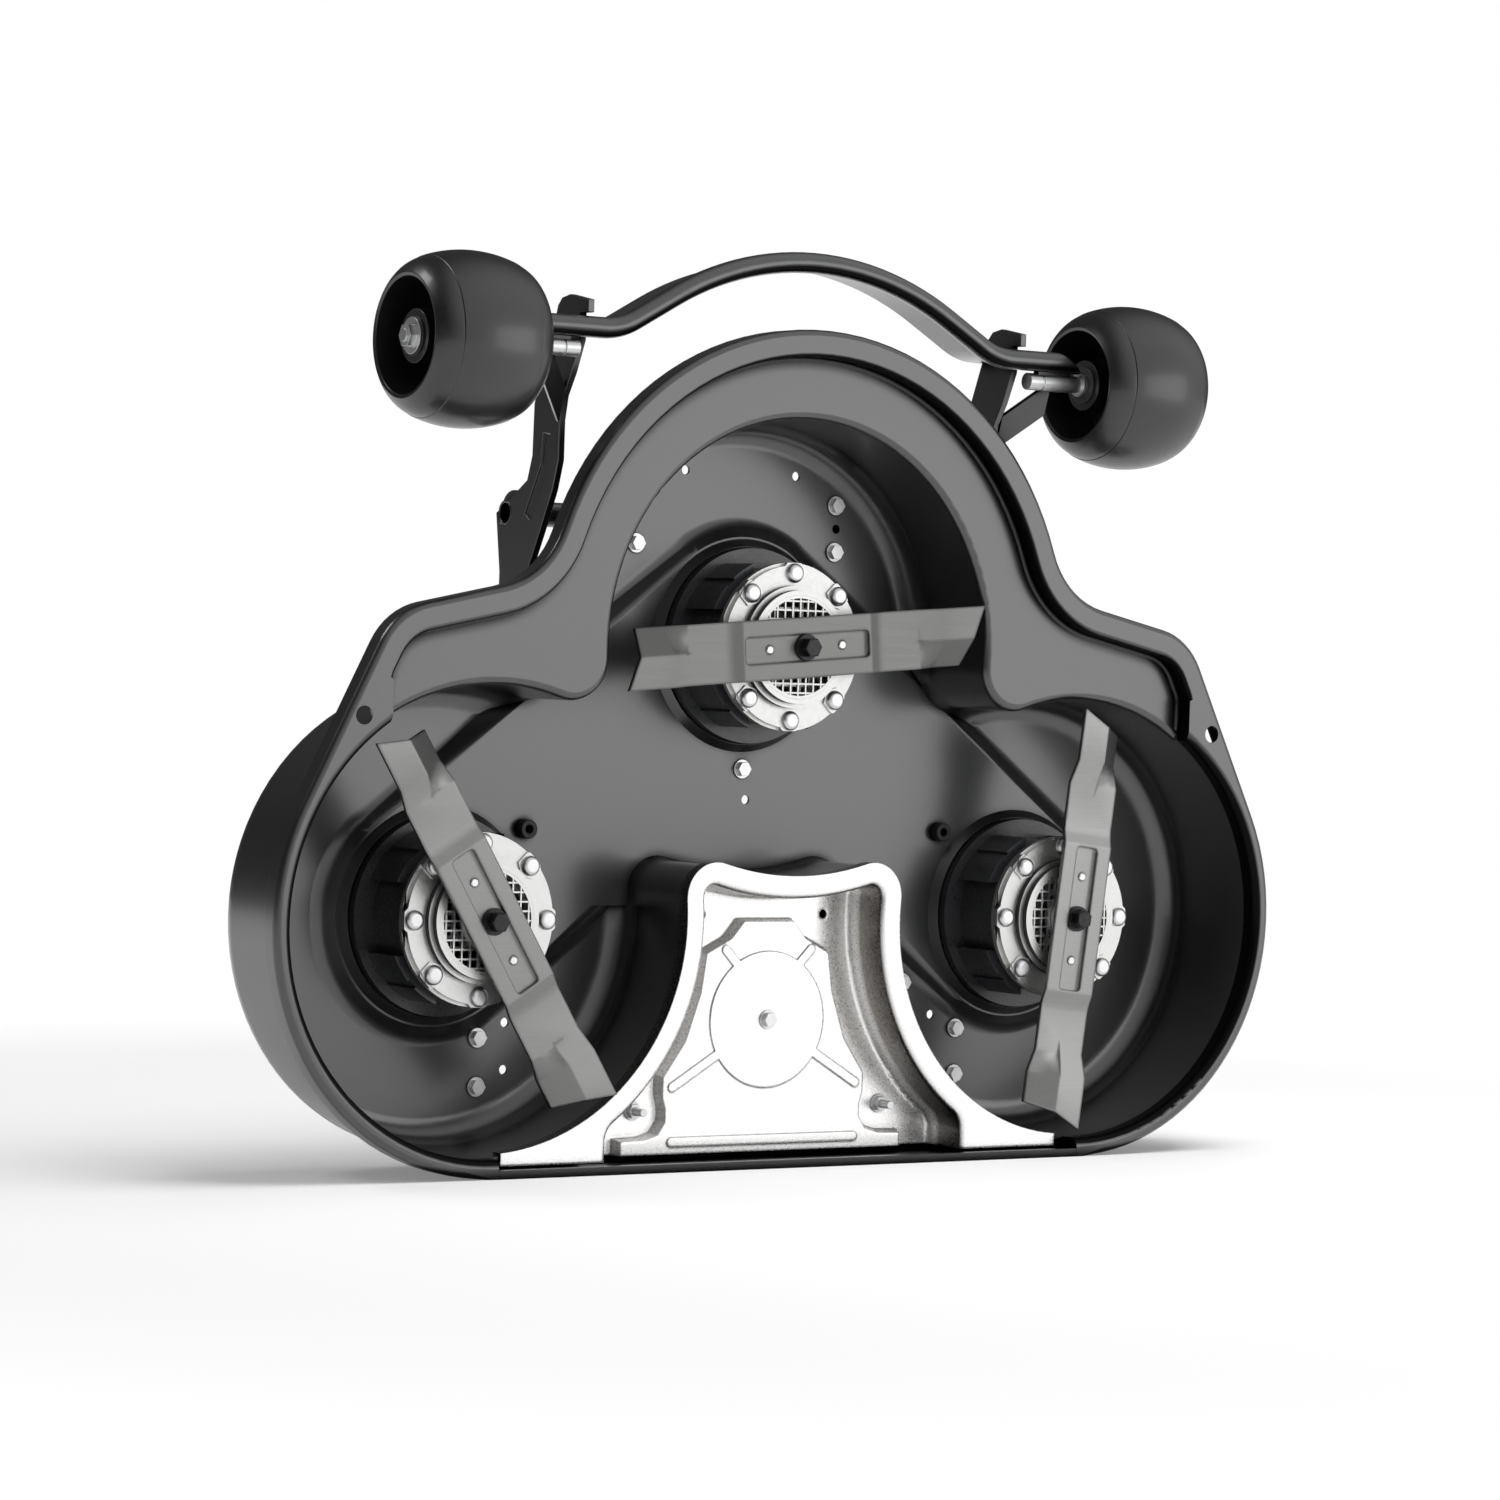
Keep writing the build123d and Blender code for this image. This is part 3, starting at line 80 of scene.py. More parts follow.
eye = VIEW_TARGET + back * VIEW_DISTANCE + right * VIEW_SHIFT_RIGHT + up * VIEW_SHIFT_UP
camera.matrix_world = Matrix.Translation(eye) @ Matrix((right, up, back)).transposed().to_4x4()
bpy.context.scene.collection.objects.link(camera)
bpy.context.scene.camera = camera
bpy.context.scene.view_settings.view_transform = "Standard"


# Deck shell: one steel sheet, 3 mm thick, pressed into three blade chambers with a sunk front band.
# Its outer edge is turned back into a lip, and it is powder-coated black inside and out.
RIM_Y = -0.06425
BAND_Y = RIM_Y + 0.020
FLOOR_Y = RIM_Y + 0.138
PLATEAU_Y = RIM_Y + 0.126
ON_LEVEL = 1e-5
BEAD_ROUND = 0.0045
LIP_ROUND = 0.0065
BAND_ROUND = 0.004
PRESS_ROUND = 0.007
MOUTH_ROUND = 0.0015
DECK_MIDDLE = Vector((0.0, 0.0, 0.4))
SILL_END_X = 0.347
BAND_LOW_Z = 0.32
EAR_HOLE_CLEAR = 0.012
FLOOR_SEAT_R = 0.09
PLATEAU_SEAT_R = 0.112
EDGE_TURN = 25
PRESS_TURN = 60
EAR_HOLES = [Vector((side * 0.4907, RIM_Y, 0.4234)) for side in (-1, 1)]
HUBS = {
    "front": Vector((0, 0, 0.49753)),
    "left": Vector((-0.33849, 0, 0.236)),
    "right": Vector((0.33849, 0, 0.236)),
}


def linear(hex_colour):
    """A colour written as sRGB hex, turned to the linear colour that a shader takes."""
    parts = [int(hex_colour[i : i + 2], 16) / 255 for i in (1, 3, 5)]
    return (*[c / 12.92 if c <= 0.04045 else ((c + 0.055) / 1.055) ** 2.4 for c in parts], 1.0)


def add_node(tree, kind, inputs={}, **settings):
    """Adds a node with its settings. An input that is a socket is linked, and any other is a value."""
    node = tree.nodes.new(kind)
    for name, value in settings.items():
        setattr(node, name, value)
    for name, value in inputs.items():
        if isinstance(value, bpy.types.NodeSocket):
            tree.links.new(value, node.inputs[name])
        else:
            node.inputs[name].default_value = value
    return node


def new_finish(name):
    """An empty material, and its node tree."""
    finish = bpy.data.materials.new(name)
    finish.use_nodes = True
    finish.node_tree.nodes.clear()
    return finish, finish.node_tree


def joined(node):
    """The mesh of a CAD piece with its loose triangles joined and its flat faces made whole."""
    bm = bmesh.new()
    bm.from_mesh(nodes[node].data)
    bmesh.ops.remove_doubles(bm, verts=bm.verts, dist=5e-6)
    bmesh.ops.dissolve_limit(bm, angle_limit=math.radians(0.3), verts=bm.verts, edges=bm.edges)
    return bm


def stand_in(bm, node, finish, edge=0.0, crease=32):
    """Makes a joined mesh the piece that stands for a CAD node, with its sharp edges rounded."""
    limit = math.radians(crease)
    for face in bm.faces:
        face.smooth = True
    for bend in bm.edges:
        bend.smooth = bend.calc_face_angle(0.0) < limit
    mesh = bpy.data.meshes.new(node + "_finished")
    bm.to_mesh(mesh)
    bm.free()
    piece = bpy.data.objects.new(node + "_finished", mesh)
    bpy.context.scene.collection.objects.link(piece)
    if edge:
        rounding = piece.modifiers.new("rounding", "BEVEL")
        rounding.width = edge
        rounding.segments = 2
        rounding.limit_method = "ANGLE"
        rounding.angle_limit = limit
    flats = piece.modifiers.new("flats", "WEIGHTED_NORMAL")
    flats.keep_sharp = True
    seen = piece.evaluated_get(bpy.context.evaluated_depsgraph_get())
    piece.data = bpy.data.meshes.new_from_object(seen)
    piece.modifiers.clear()
    piece.data.materials.clear()
    piece.data.materials.append(finish)
    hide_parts(node)
    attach(piece, nodes[node]["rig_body"])
    return piece


# Polyester powder coat on steel: near black, satin, with a fine orange peel from the melted powder.
# The peel's 0.5 mm waves are drawn 1.2 mm wide so that they show.
# Painted shade: in nooks found by ambient occlusion, and on the inward-facing wall of the groove behind the
# rim, the coat is mixed toward near black and its gloss is dimmed.
coat, tree = new_finish("black_powder_coat")
place = add_node(tree, "ShaderNodeTexCoord").outputs["Object"]
peel = add_node(tree, "ShaderNodeTexNoise", {"Vector": place, "Scale": 1 / 0.0012, "Detail": 2.0})
film = add_node(tree, "ShaderNodeTexNoise", {"Vector": place, "Scale": 1 / 0.09, "Detail": 4.0})
speck = add_node(tree, "ShaderNodeTexNoise", {"Vector": place, "Scale": 1 / 0.0016, "Detail": 1.0})
mottle_and_shade = add_node(tree, "ShaderNodeMixRGB", {
    "Fac": film.outputs["Fac"], "Color1": linear("#131415"), "Color2": linear("#191a1b"),
})
gloss = add_node(tree, "ShaderNodeMapRange", {
    "Value": speck.outputs["Fac"], "From Min": 0.3, "From Max": 0.7, "To Min": 0.3, "To Max": 0.36,
})
# Painted shade: nooks found by ambient occlusion are darkened and their gloss dimmed.
shade_occlusion = add_node(tree, "ShaderNodeAmbientOcclusion", {"Distance": 0.02}, samples=8)
unshaded = add_node(tree, "ShaderNodeMapRange", {
    "Value": shade_occlusion.outputs["AO"], "From Min": 0.6, "From Max": 0.88, "To Min": 0.02, "To Max": 1.0,
})
# Painted shade: faces turned in towards the deck's middle, in front of the band, are darkened; this is the
# groove wall behind the rim.
from_middle = add_node(tree, "ShaderNodeVectorMath", {
    0: place, 1: DECK_MIDDLE,
}, operation="SUBTRACT")
inward = add_node(tree, "ShaderNodeVectorMath", {
    0: from_middle.outputs["Vector"], 1: add_node(tree, "ShaderNodeTexCoord").outputs["Normal"],
}, operation="DOT_PRODUCT")
lit = add_node(tree, "ShaderNodeMapRange", {
    "Value": inward.outputs["Value"], "From Min": -0.14, "From Max": 0.0, "To Min": 0.05, "To Max": 1.0,
})
depth = add_node(tree, "ShaderNodeSeparateXYZ", {"Vector": place})
behind = add_node(tree, "ShaderNodeMapRange", {
    "Value": depth.outputs["Y"], "From Min": BAND_Y - 0.002, "From Max": BAND_Y,
})
lit = add_node(tree, "ShaderNodeMath", {
    0: lit.outputs["Result"], 1: behind.outputs["Result"],
}, operation="MAXIMUM")
unshaded = add_node(tree, "ShaderNodeMath", {
    0: unshaded.outputs["Result"], 1: lit.outputs["Value"],
}, operation="MULTIPLY")
# Painted shade: the mottled colour is mixed toward near black where the shade mask is low.
mottle_and_shade = add_node(tree, "ShaderNodeMixRGB", {
    "Fac": unshaded.outputs["Value"], "Color1": linear("#060606"), "Color2": mottle_and_shade.outputs["Color"],
})
# The specular and coat are dimmed with the same painted shade.
shine = add_node(tree, "ShaderNodeMath", {0: unshaded.outputs["Value"], 1: 0.8}, operation="MULTIPLY")
turned = add_node(tree, "ShaderNodeBevel", {"Radius": 0.0008}, samples=4)
skin = add_node(tree, "ShaderNodeBump", {
    "Strength": 0.02, "Distance": 0.0003, "Height": peel.outputs["Fac"],
    "Normal": turned.outputs["Normal"],
})
shader = add_node(tree, "ShaderNodeBsdfPrincipled", {
    "Base Color": mottle_and_shade.outputs["Color"], "Roughness": gloss.outputs["Result"],
    "Normal": skin.outputs["Normal"], "IOR": 1.5, "Specular IOR Level": shine.outputs["Value"],
    "Coat Weight": unshaded.outputs["Value"], "Coat Roughness": 0.22, "Coat IOR": 1.5,
})
add_node(tree, "ShaderNodeOutputMaterial", {"Surface": shader.outputs["BSDF"]})

deck = joined("deck_shell")
rounds = {BEAD_ROUND: [], LIP_ROUND: [], BAND_ROUND: [], PRESS_ROUND: [], MOUTH_ROUND: []}
for bend in deck.edges:
    first, second = (v.co for v in bend.verts)
    middle = (first + second) / 2
    turn = math.degrees(bend.calc_face_angle(0.0))
    from_hub = min(math.hypot(middle.x - h.x, middle.z - h.z) for h in HUBS.values())
    from_hole = min((middle - hole).length for hole in EAR_HOLES)
    if abs(first.y - second.y) > ON_LEVEL or turn < EDGE_TURN or from_hole < EAR_HOLE_CLEAR:
        continue
    if abs(middle.y - RIM_Y) < ON_LEVEL:
        wall = min((face.normal for face in bend.link_faces), key=lambda n: abs(n.y))
        outward = wall.x * middle.x + wall.z * (middle.z - DECK_MIDDLE.z) > 0
        foot = max(v.co.y for face in bend.link_faces for v in face.verts)
        if outward and (abs(middle.x) > SILL_END_X or middle.z > BAND_LOW_Z):
            rounds[LIP_ROUND].append(bend)
        elif foot < BAND_Y + 1e-4:
            rounds[BEAD_ROUND].append(bend)
        else:
            rounds[MOUTH_ROUND].append(bend)
    elif abs(middle.y - BAND_Y) < ON_LEVEL and middle.z > BAND_LOW_Z:
        rounds[BAND_ROUND].append(bend)
    elif turn < PRESS_TURN and abs(middle.y - FLOOR_Y) < ON_LEVEL and from_hub > FLOOR_SEAT_R:
        rounds[PRESS_ROUND].append(bend)
    elif turn < PRESS_TURN and abs(middle.y - PLATEAU_Y) < ON_LEVEL and from_hub > PLATEAU_SEAT_R:
        rounds[PRESS_ROUND].append(bend)
for radius, bends in rounds.items():
    bmesh.ops.bevel(
        deck, geom=[bend for bend in bends if bend.is_valid], offset=radius, offset_type="OFFSET",
        segments=5, profile=0.5, affect="EDGES", clamp_overlap=False,
    )
stand_in(deck, "deck_shell", coat)


# Mulch plug: a pressed bright sheet that closes the rear tunnel, held by one bolt and two studs.
# Its floor has a raised field with a disc, ribs and a slot, and its rim laps the tunnel walls.
# Bright-rolled sheet: near white on its flats and grainy on its walls. Painted shade: walls that turn away
# from the front take a dark grey, darker nearer the rim, and corners are darkened by occlusion.
PLUG_WALL_TOP_Y = RIM_Y + 0.024
PLUG_WALL_LOW_Y = RIM_Y + 0.056
PLUG_FIELD_Y = RIM_Y + 0.064
bright, tree = new_finish("bright_plug_steel")
place = add_node(tree, "ShaderNodeTexCoord").outputs["Object"]
grain = add_node(tree, "ShaderNodeTexNoise", {"Vector": place, "Scale": 1 / 0.0022, "Detail": 3.0})
cloud = add_node(tree, "ShaderNodeTexNoise", {"Vector": place, "Scale": 1 / 0.06, "Detail": 3.0})
flat = add_node(tree, "ShaderNodeMixRGB", {
    "Fac": cloud.outputs["Fac"], "Color1": linear("#f4f3f2"), "Color2": linear("#fbfaf9"),
})
depth = add_node(tree, "ShaderNodeSeparateXYZ", {"Vector": place})
# Painted shade: the wall colour gets darker nearer the rim.
depth_shade = add_node(tree, "ShaderNodeMapRange", {
    "Value": depth.outputs["Y"], "From Min": PLUG_WALL_TOP_Y, "From Max": PLUG_WALL_LOW_Y,
    "To Min": -0.34, "To Max": 0.02,
})
grain_and_depth_shade = add_node(tree, "ShaderNodeMath", {
    0: grain.outputs["Fac"], 1: depth_shade.outputs["Result"],
}, operation="ADD", use_clamp=True)
# The wall colour runs from a painted-shade dark grey to a grey, by the grain and the depth shade.
wall = add_node(tree, "ShaderNodeMixRGB", {
    "Fac": grain_and_depth_shade.outputs["Value"], "Color1": linear("#3e3b39"), "Color2": linear("#a39e99"),
})
# Painted shade: faces that turn away from the front take the darker wall colour.
facing = add_node(tree, "ShaderNodeSeparateXYZ", {
    "Vector": add_node(tree, "ShaderNodeTexCoord").outputs["Normal"],
})
frontal = add_node(tree, "ShaderNodeMath", {0: facing.outputs["Y"]}, operation="ABSOLUTE")
frontal = add_node(tree, "ShaderNodeMapRange", {
    "Value": frontal.outputs["Value"], "From Min": 0.4, "From Max": 0.9,
})
low_step = add_node(tree, "ShaderNodeMapRange", {
    "Value": depth.outputs["Y"], "From Min": PLUG_WALL_LOW_Y, "From Max": PLUG_FIELD_Y, "To Max": 0.8,
})
pale = add_node(tree, "ShaderNodeMath", {
    0: frontal.outputs["Result"], 1: low_step.outputs["Result"],
}, operation="MAXIMUM")
step = add_node(tree, "ShaderNodeMath", {
    0: low_step.outputs["Result"], 1: frontal.outputs["Result"],
}, operation="SUBTRACT", use_clamp=True)
metal = add_node(tree, "ShaderNodeMapRange", {"Value": step.outputs["Value"], "To Min": 1.0, "To Max": 0.2})
# Painted shade: corners found by ambient occlusion are pulled toward the darker wall colour.
shade_occlusion = add_node(tree, "ShaderNodeAmbientOcclusion", {"Distance": 0.007}, samples=6)
open_part = add_node(tree, "ShaderNodeMapRange", {
    "Value": shade_occlusion.outputs["AO"], "From Min": 0.5, "From Max": 0.9, "To Min": 0.25, "To Max": 1.0,
})
pale = add_node(tree, "ShaderNodeMath", {
    0: pale.outputs["Value"], 1: open_part.outputs["Result"],
}, operation="MULTIPLY")
tone = add_node(tree, "ShaderNodeMixRGB", {
    "Fac": pale.outputs["Value"], "Color1": wall.outputs["Color"], "Color2": flat.outputs["Color"],
})
gloss = add_node(tree, "ShaderNodeMapRange", {
    "Value": grain.outputs["Fac"], "From Min": 0.3, "From Max": 0.7, "To Min": 0.24, "To Max": 0.36,
})
drawn = add_node(tree, "ShaderNodeBevel", {"Radius": 0.0035}, samples=6)
skin = add_node(tree, "ShaderNodeBump", {
    "Strength": 0.04, "Distance": 0.0004, "Height": grain.outputs["Fac"],
    "Normal": drawn.outputs["Normal"],
})
shader = add_node(tree, "ShaderNodeBsdfPrincipled", {
    "Base Color": tone.outputs["Color"], "Roughness": gloss.outputs["Result"],
    "Normal": skin.outputs["Normal"], "Metallic": metal.outputs["Result"],
})
add_node(tree, "ShaderNodeOutputMaterial", {"Surface": shader.outputs["BSDF"]})
stand_in(joined("mulch_plug"), "mulch_plug", bright, edge=0.0014, crease=28)


# Deck bolts, plug bolt and studs: zinc-plated steel with hex heads and nuts, screwed through the sheet.
# Zinc plate: pale, a little blue, with a soft gloss and a faint mottle from the passivation.
zinc, tree = new_finish("zinc_plate")
place = add_node(tree, "ShaderNodeTexCoord").outputs["Object"]
spangle = add_node(tree, "ShaderNodeTexNoise", {"Vector": place, "Scale": 1 / 0.004, "Detail": 3.0})
tone = add_node(tree, "ShaderNodeMixRGB", {
    "Fac": spangle.outputs["Fac"], "Color1": linear("#c6c7c9"), "Color2": linear("#dadad9"),
})
gloss = add_node(tree, "ShaderNodeMapRange", {
    "Value": spangle.outputs["Fac"], "To Min": 0.3, "To Max": 0.44,
})
shader = add_node(tree, "ShaderNodeBsdfPrincipled", {
    "Base Color": tone.outputs["Color"], "Roughness": gloss.outputs["Result"], "Metallic": 1.0,
})
add_node(tree, "ShaderNodeOutputMaterial", {"Surface": shader.outputs["BSDF"]})
for node in ("deck_bolts", "plateau_bolt", "plug_bolt", "plug_studs"):
    stand_in(joined(node), node, zinc, edge=0.0005)


# Rubber stops: short moulded sleeves pressed on the plateau beside the rear motors.
# Nitrile rubber: black, dull, with a fine moulded grain.
rubber, tree = new_finish("black_rubber")
place = add_node(tree, "ShaderNodeTexCoord").outputs["Object"]
grain = add_node(tree, "ShaderNodeTexNoise", {"Vector": place, "Scale": 1 / 0.0015, "Detail": 2.0})
tone = add_node(tree, "ShaderNodeMixRGB", {
    "Fac": grain.outputs["Fac"], "Color1": linear("#101010"), "Color2": linear("#181818"),
})
skin = add_node(tree, "ShaderNodeBump", {
    "Strength": 0.2, "Distance": 0.0003, "Height": grain.outputs["Fac"],
})
shader = add_node(tree, "ShaderNodeBsdfPrincipled", {
    "Base Color": tone.outputs["Color"], "Roughness": 0.6, "Normal": skin.outputs["Normal"], "IOR": 1.52,
})
add_node(tree, "ShaderNodeOutputMaterial", {"Surface": shader.outputs["BSDF"]})
stand_in(joined("rubber_stops"), "rubber_stops", rubber, edge=0.001)


# Motor housings: die-cast aluminium cans with four toothed pads, screwed through bosses in the deck.
# Black anodised casting: charcoal, semi-gloss, with a light cast texture and crisp machined edges.
anodised, tree = new_finish("black_anodised_casting")
place = add_node(tree, "ShaderNodeTexCoord").outputs["Object"]
cast = add_node(tree, "ShaderNodeTexNoise", {"Vector": place, "Scale": 1 / 0.0025, "Detail": 3.0})
tone = add_node(tree, "ShaderNodeMixRGB", {
    "Fac": cast.outputs["Fac"], "Color1": linear("#2e2f31"), "Color2": linear("#3a3b3e"),
})
gloss = add_node(tree, "ShaderNodeMapRange", {
    "Value": cast.outputs["Fac"], "From Min": 0.3, "From Max": 0.7, "To Min": 0.26, "To Max": 0.38,
})
skin = add_node(tree, "ShaderNodeBump", {
    "Strength": 0.12, "Distance": 0.0004, "Height": cast.outputs["Fac"],
})
shader = add_node(tree, "ShaderNodeBsdfPrincipled", {
    "Base Color": tone.outputs["Color"], "Roughness": gloss.outputs["Result"],
    "Normal": skin.outputs["Normal"], "IOR": 1.6,
})
add_node(tree, "ShaderNodeOutputMaterial", {"Surface": shader.outputs["BSDF"]})
for hub in HUBS:
    node = hub + "_motor_housing"
    stand_in(joined(node), node, anodised, edge=0.0012)


# Motor flanges and their bolts: cast aluminium end shields, each held by eight round-head bolts.
# Bright cast aluminium: silver white, with a soft gloss and a cast grain.
# The rim is trimmed round at its lugs, and the side of the neck is black with a rubber seal.
silver, tree = new_finish("bright_cast_aluminium")
place = add_node(tree, "ShaderNodeTexCoord").outputs["Object"]
cast = add_node(tree, "ShaderNodeTexNoise", {"Vector": place, "Scale": 1 / 0.003, "Detail": 3.0})
tone = add_node(tree, "ShaderNodeMixRGB", {
    "Fac": cast.outputs["Fac"], "Color1": linear("#c2c2c1"), "Color2": linear("#d6d6d4"),
})
gloss = add_node(tree, "ShaderNodeMapRange", {
    "Value": cast.outputs["Fac"], "From Min": 0.3, "From Max": 0.7, "To Min": 0.38, "To Max": 0.5,
})
skin = add_node(tree, "ShaderNodeBump", {
    "Strength": 0.1, "Distance": 0.0004, "Height": cast.outputs["Fac"],
})
shader = add_node(tree, "ShaderNodeBsdfPrincipled", {
    "Base Color": tone.outputs["Color"], "Roughness": gloss.outputs["Result"],
    "Normal": skin.outputs["Normal"], "Metallic": 1.0,
})
add_node(tree, "ShaderNodeOutputMaterial", {"Surface": shader.outputs["BSDF"]})
FLANGE_R = 0.081
LUG_SIDE = 0.02
LUG_CUTS = 8
NECK_R = 0.052
NECK_WALL = 0.008
FLANGE_FACE_Y = RIM_Y + 0.041
NECK_START = 0.0005
NECK_SLOPE = 0.3
SLACK = 0.0002
for hub, middle in HUBS.items():
    flange = joined(hub + "_motor_flange")
    lugs = []
    for side in flange.edges:
        reach = min(math.hypot(v.co.x - middle.x, v.co.z - middle.z) for v in side.verts)
        if reach > FLANGE_R + SLACK and side.calc_length() > LUG_SIDE:
            lugs.append(side)
    bmesh.ops.subdivide_edges(flange, edges=lugs, cuts=LUG_CUTS)
    for v in flange.verts:
        reach = math.hypot(v.co.x - middle.x, v.co.z - middle.z)
        if reach > FLANGE_R + SLACK:
            v.co.x = middle.x + (v.co.x - middle.x) * FLANGE_R / reach
            v.co.z = middle.z + (v.co.z - middle.z) * FLANGE_R / reach
    shield = stand_in(flange, hub + "_motor_flange", silver, edge=0.0008)
    shield.data.materials.append(rubber)
    for face in shield.data.polygons:
        reach = math.hypot(face.center.x - middle.x, face.center.z - middle.z)
        on_neck = NECK_R < reach < NECK_R + NECK_WALL and face.center.y < FLANGE_FACE_Y - NECK_START
        if on_neck and abs(face.normal.y) < NECK_SLOPE:
            face.material_index = 1
    stand_in(joined(hub + "_flange_bolts"), hub + "_flange_bolts", zinc)


# Motor grilles: cast cups that seat the front bearing, each with a square mesh of bars over its mouth.
# The mesh is a rule: bars at one pitch, each as long as the ring's chord less the hole for the hub.
bars_tree = bpy.data.node_groups.new("grille_bars", "GeometryNodeTree")
bars_tree.interface.new_socket(name="Geometry", in_out="OUTPUT", socket_type="NodeSocketGeometry")
bars_tree.interface.new_socket(name="Bars", in_out="INPUT", socket_type="NodeSocketInt")
for name in ("Pitch", "Ring Radius", "Hub Radius", "Bar Width", "Bar Depth", "Ring Width"):
    bars_tree.interface.new_socket(name=name, in_out="INPUT", socket_type="NodeSocketFloat")
bars_tree.interface.new_socket(name="Middle", in_out="INPUT", socket_type="NodeSocketVector")
bars_tree.interface.new_socket(name="Finish", in_out="INPUT", socket_type="NodeSocketMaterial")
given = add_node(bars_tree, "NodeGroupInput").outputs
gaps = add_node(bars_tree, "ShaderNodeMath", {0: given["Bars"], 1: -1.0}, operation="ADD")
span = add_node(bars_tree, "ShaderNodeMath", {
    0: gaps.outputs["Value"], 1: given["Pitch"],
}, operation="MULTIPLY")
first = add_node(bars_tree, "ShaderNodeMath", {0: span.outputs["Value"], 1: -0.5}, operation="MULTIPLY")
start = add_node(bars_tree, "ShaderNodeCombineXYZ", {"X": first.outputs["Value"]})
step = add_node(bars_tree, "ShaderNodeCombineXYZ", {"X": given["Pitch"]})
row = add_node(bars_tree, "GeometryNodeMeshLine", {
    "Count": given["Bars"], "Start Location": start.outputs["Vector"], "Offset": step.outputs["Vector"],
})
place = add_node(bars_tree, "GeometryNodeInputPosition")
across = add_node(bars_tree, "ShaderNodeSeparateXYZ", {"Vector": place.outputs["Position"]}).outputs["X"]
across = add_node(bars_tree, "ShaderNodeMath", {0: across, 1: across}, operation="MULTIPLY").outputs["Value"]
chords = []
for name in ("Ring Radius", "Hub Radius"):
    square = add_node(bars_tree, "ShaderNodeMath", {0: given[name], 1: given[name]}, operation="MULTIPLY")
    rest = add_node(bars_tree, "ShaderNodeMath", {
        0: square.outputs["Value"], 1: across,
    }, operation="SUBTRACT")
    rest = add_node(bars_tree, "ShaderNodeMath", {0: rest.outputs["Value"], 1: 0.0}, operation="MAXIMUM")
    chord = add_node(bars_tree, "ShaderNodeMath", {0: rest.outputs["Value"]}, operation="SQRT")
    chords.append(chord.outputs["Value"])
long = add_node(bars_tree, "ShaderNodeMath", {0: chords[0], 1: chords[1]}, operation="SUBTRACT")
centre = add_node(bars_tree, "ShaderNodeMath", {0: chords[0], 1: chords[1]}, operation="ADD")
centre = add_node(bars_tree, "ShaderNodeMath", {0: centre.outputs["Value"], 1: 0.5}, operation="MULTIPLY")
lift = add_node(bars_tree, "ShaderNodeCombineXYZ", {"Z": centre.outputs["Value"]})
spots = add_node(bars_tree, "GeometryNodeSetPosition", {
    "Geometry": row.outputs["Mesh"], "Offset": lift.outputs["Vector"],
})
bar = add_node(bars_tree, "GeometryNodeMeshCube", {"Size": (1, 1, 1)})
size = add_node(bars_tree, "ShaderNodeCombineXYZ", {
    "X": given["Bar Width"], "Y": given["Bar Depth"], "Z": long.outputs["Value"],
})
upper = add_node(bars_tree, "GeometryNodeInstanceOnPoints", {
    "Points": spots.outputs["Geometry"], "Instance": bar.outputs["Mesh"], "Scale": size.outputs["Vector"],
})
lower = add_node(bars_tree, "GeometryNodeTransform", {
    "Geometry": upper.outputs["Instances"], "Rotation": (0, math.pi, 0),
})
upright = add_node(bars_tree, "GeometryNodeJoinGeometry")
for half in (upper.outputs["Instances"], lower.outputs["Geometry"]):
    bars_tree.links.new(half, upright.inputs["Geometry"])
level = add_node(bars_tree, "GeometryNodeTransform", {
    "Geometry": upright.outputs["Geometry"], "Rotation": (0, math.pi / 2, 0), "Translation": (0, 0.0002, 0),
})
mesh_work = add_node(bars_tree, "GeometryNodeJoinGeometry")
for bars in (upright, level):
    bars_tree.links.new(bars.outputs["Geometry"], mesh_work.inputs["Geometry"])
for name in ("Ring Radius", "Hub Radius"):
    circle = add_node(bars_tree, "GeometryNodeCurvePrimitiveCircle", {
        "Resolution": 72, "Radius": given[name],
    })
    section = add_node(bars_tree, "GeometryNodeCurvePrimitiveQuadrilateral", {
        "Width": given["Ring Width"], "Height": given["Ring Width"],
    })
    ring = add_node(bars_tree, "GeometryNodeCurveToMesh", {
        "Curve": circle.outputs["Curve"], "Profile Curve": section.outputs["Curve"],
    })
    ring = add_node(bars_tree, "GeometryNodeTransform", {
        "Geometry": ring.outputs["Mesh"], "Rotation": (math.pi / 2, 0, 0),
    })
    bars_tree.links.new(ring.outputs["Geometry"], mesh_work.inputs["Geometry"])
seated = add_node(bars_tree, "GeometryNodeTransform", {
    "Geometry": mesh_work.outputs["Geometry"], "Translation": given["Middle"],
})
solid = add_node(bars_tree, "GeometryNodeRealizeInstances", {"Geometry": seated.outputs["Geometry"]})
dressed = add_node(bars_tree, "GeometryNodeSetMaterial", {
    "Geometry": solid.outputs["Geometry"], "Material": given["Finish"],
})
add_node(bars_tree, "NodeGroupOutput", {"Geometry": dressed.outputs["Geometry"]})


def grown(name, tree, values):
    """A plain mesh object, grown by a node tree whose inputs take the values."""
    piece = bpy.data.objects.new(name, bpy.data.meshes.new(name))
    bpy.context.scene.collection.objects.link(piece)
    growth = piece.modifiers.new("growth", "NODES")
    growth.node_group = tree
    for socket in tree.interface.items_tree:
        if socket.in_out == "INPUT":
            growth[socket.identifier] = values[socket.name]
    seen = piece.evaluated_get(bpy.context.evaluated_depsgraph_get())
    piece.data = bpy.data.meshes.new_from_object(seen)
    piece.modifiers.clear()
    return piece


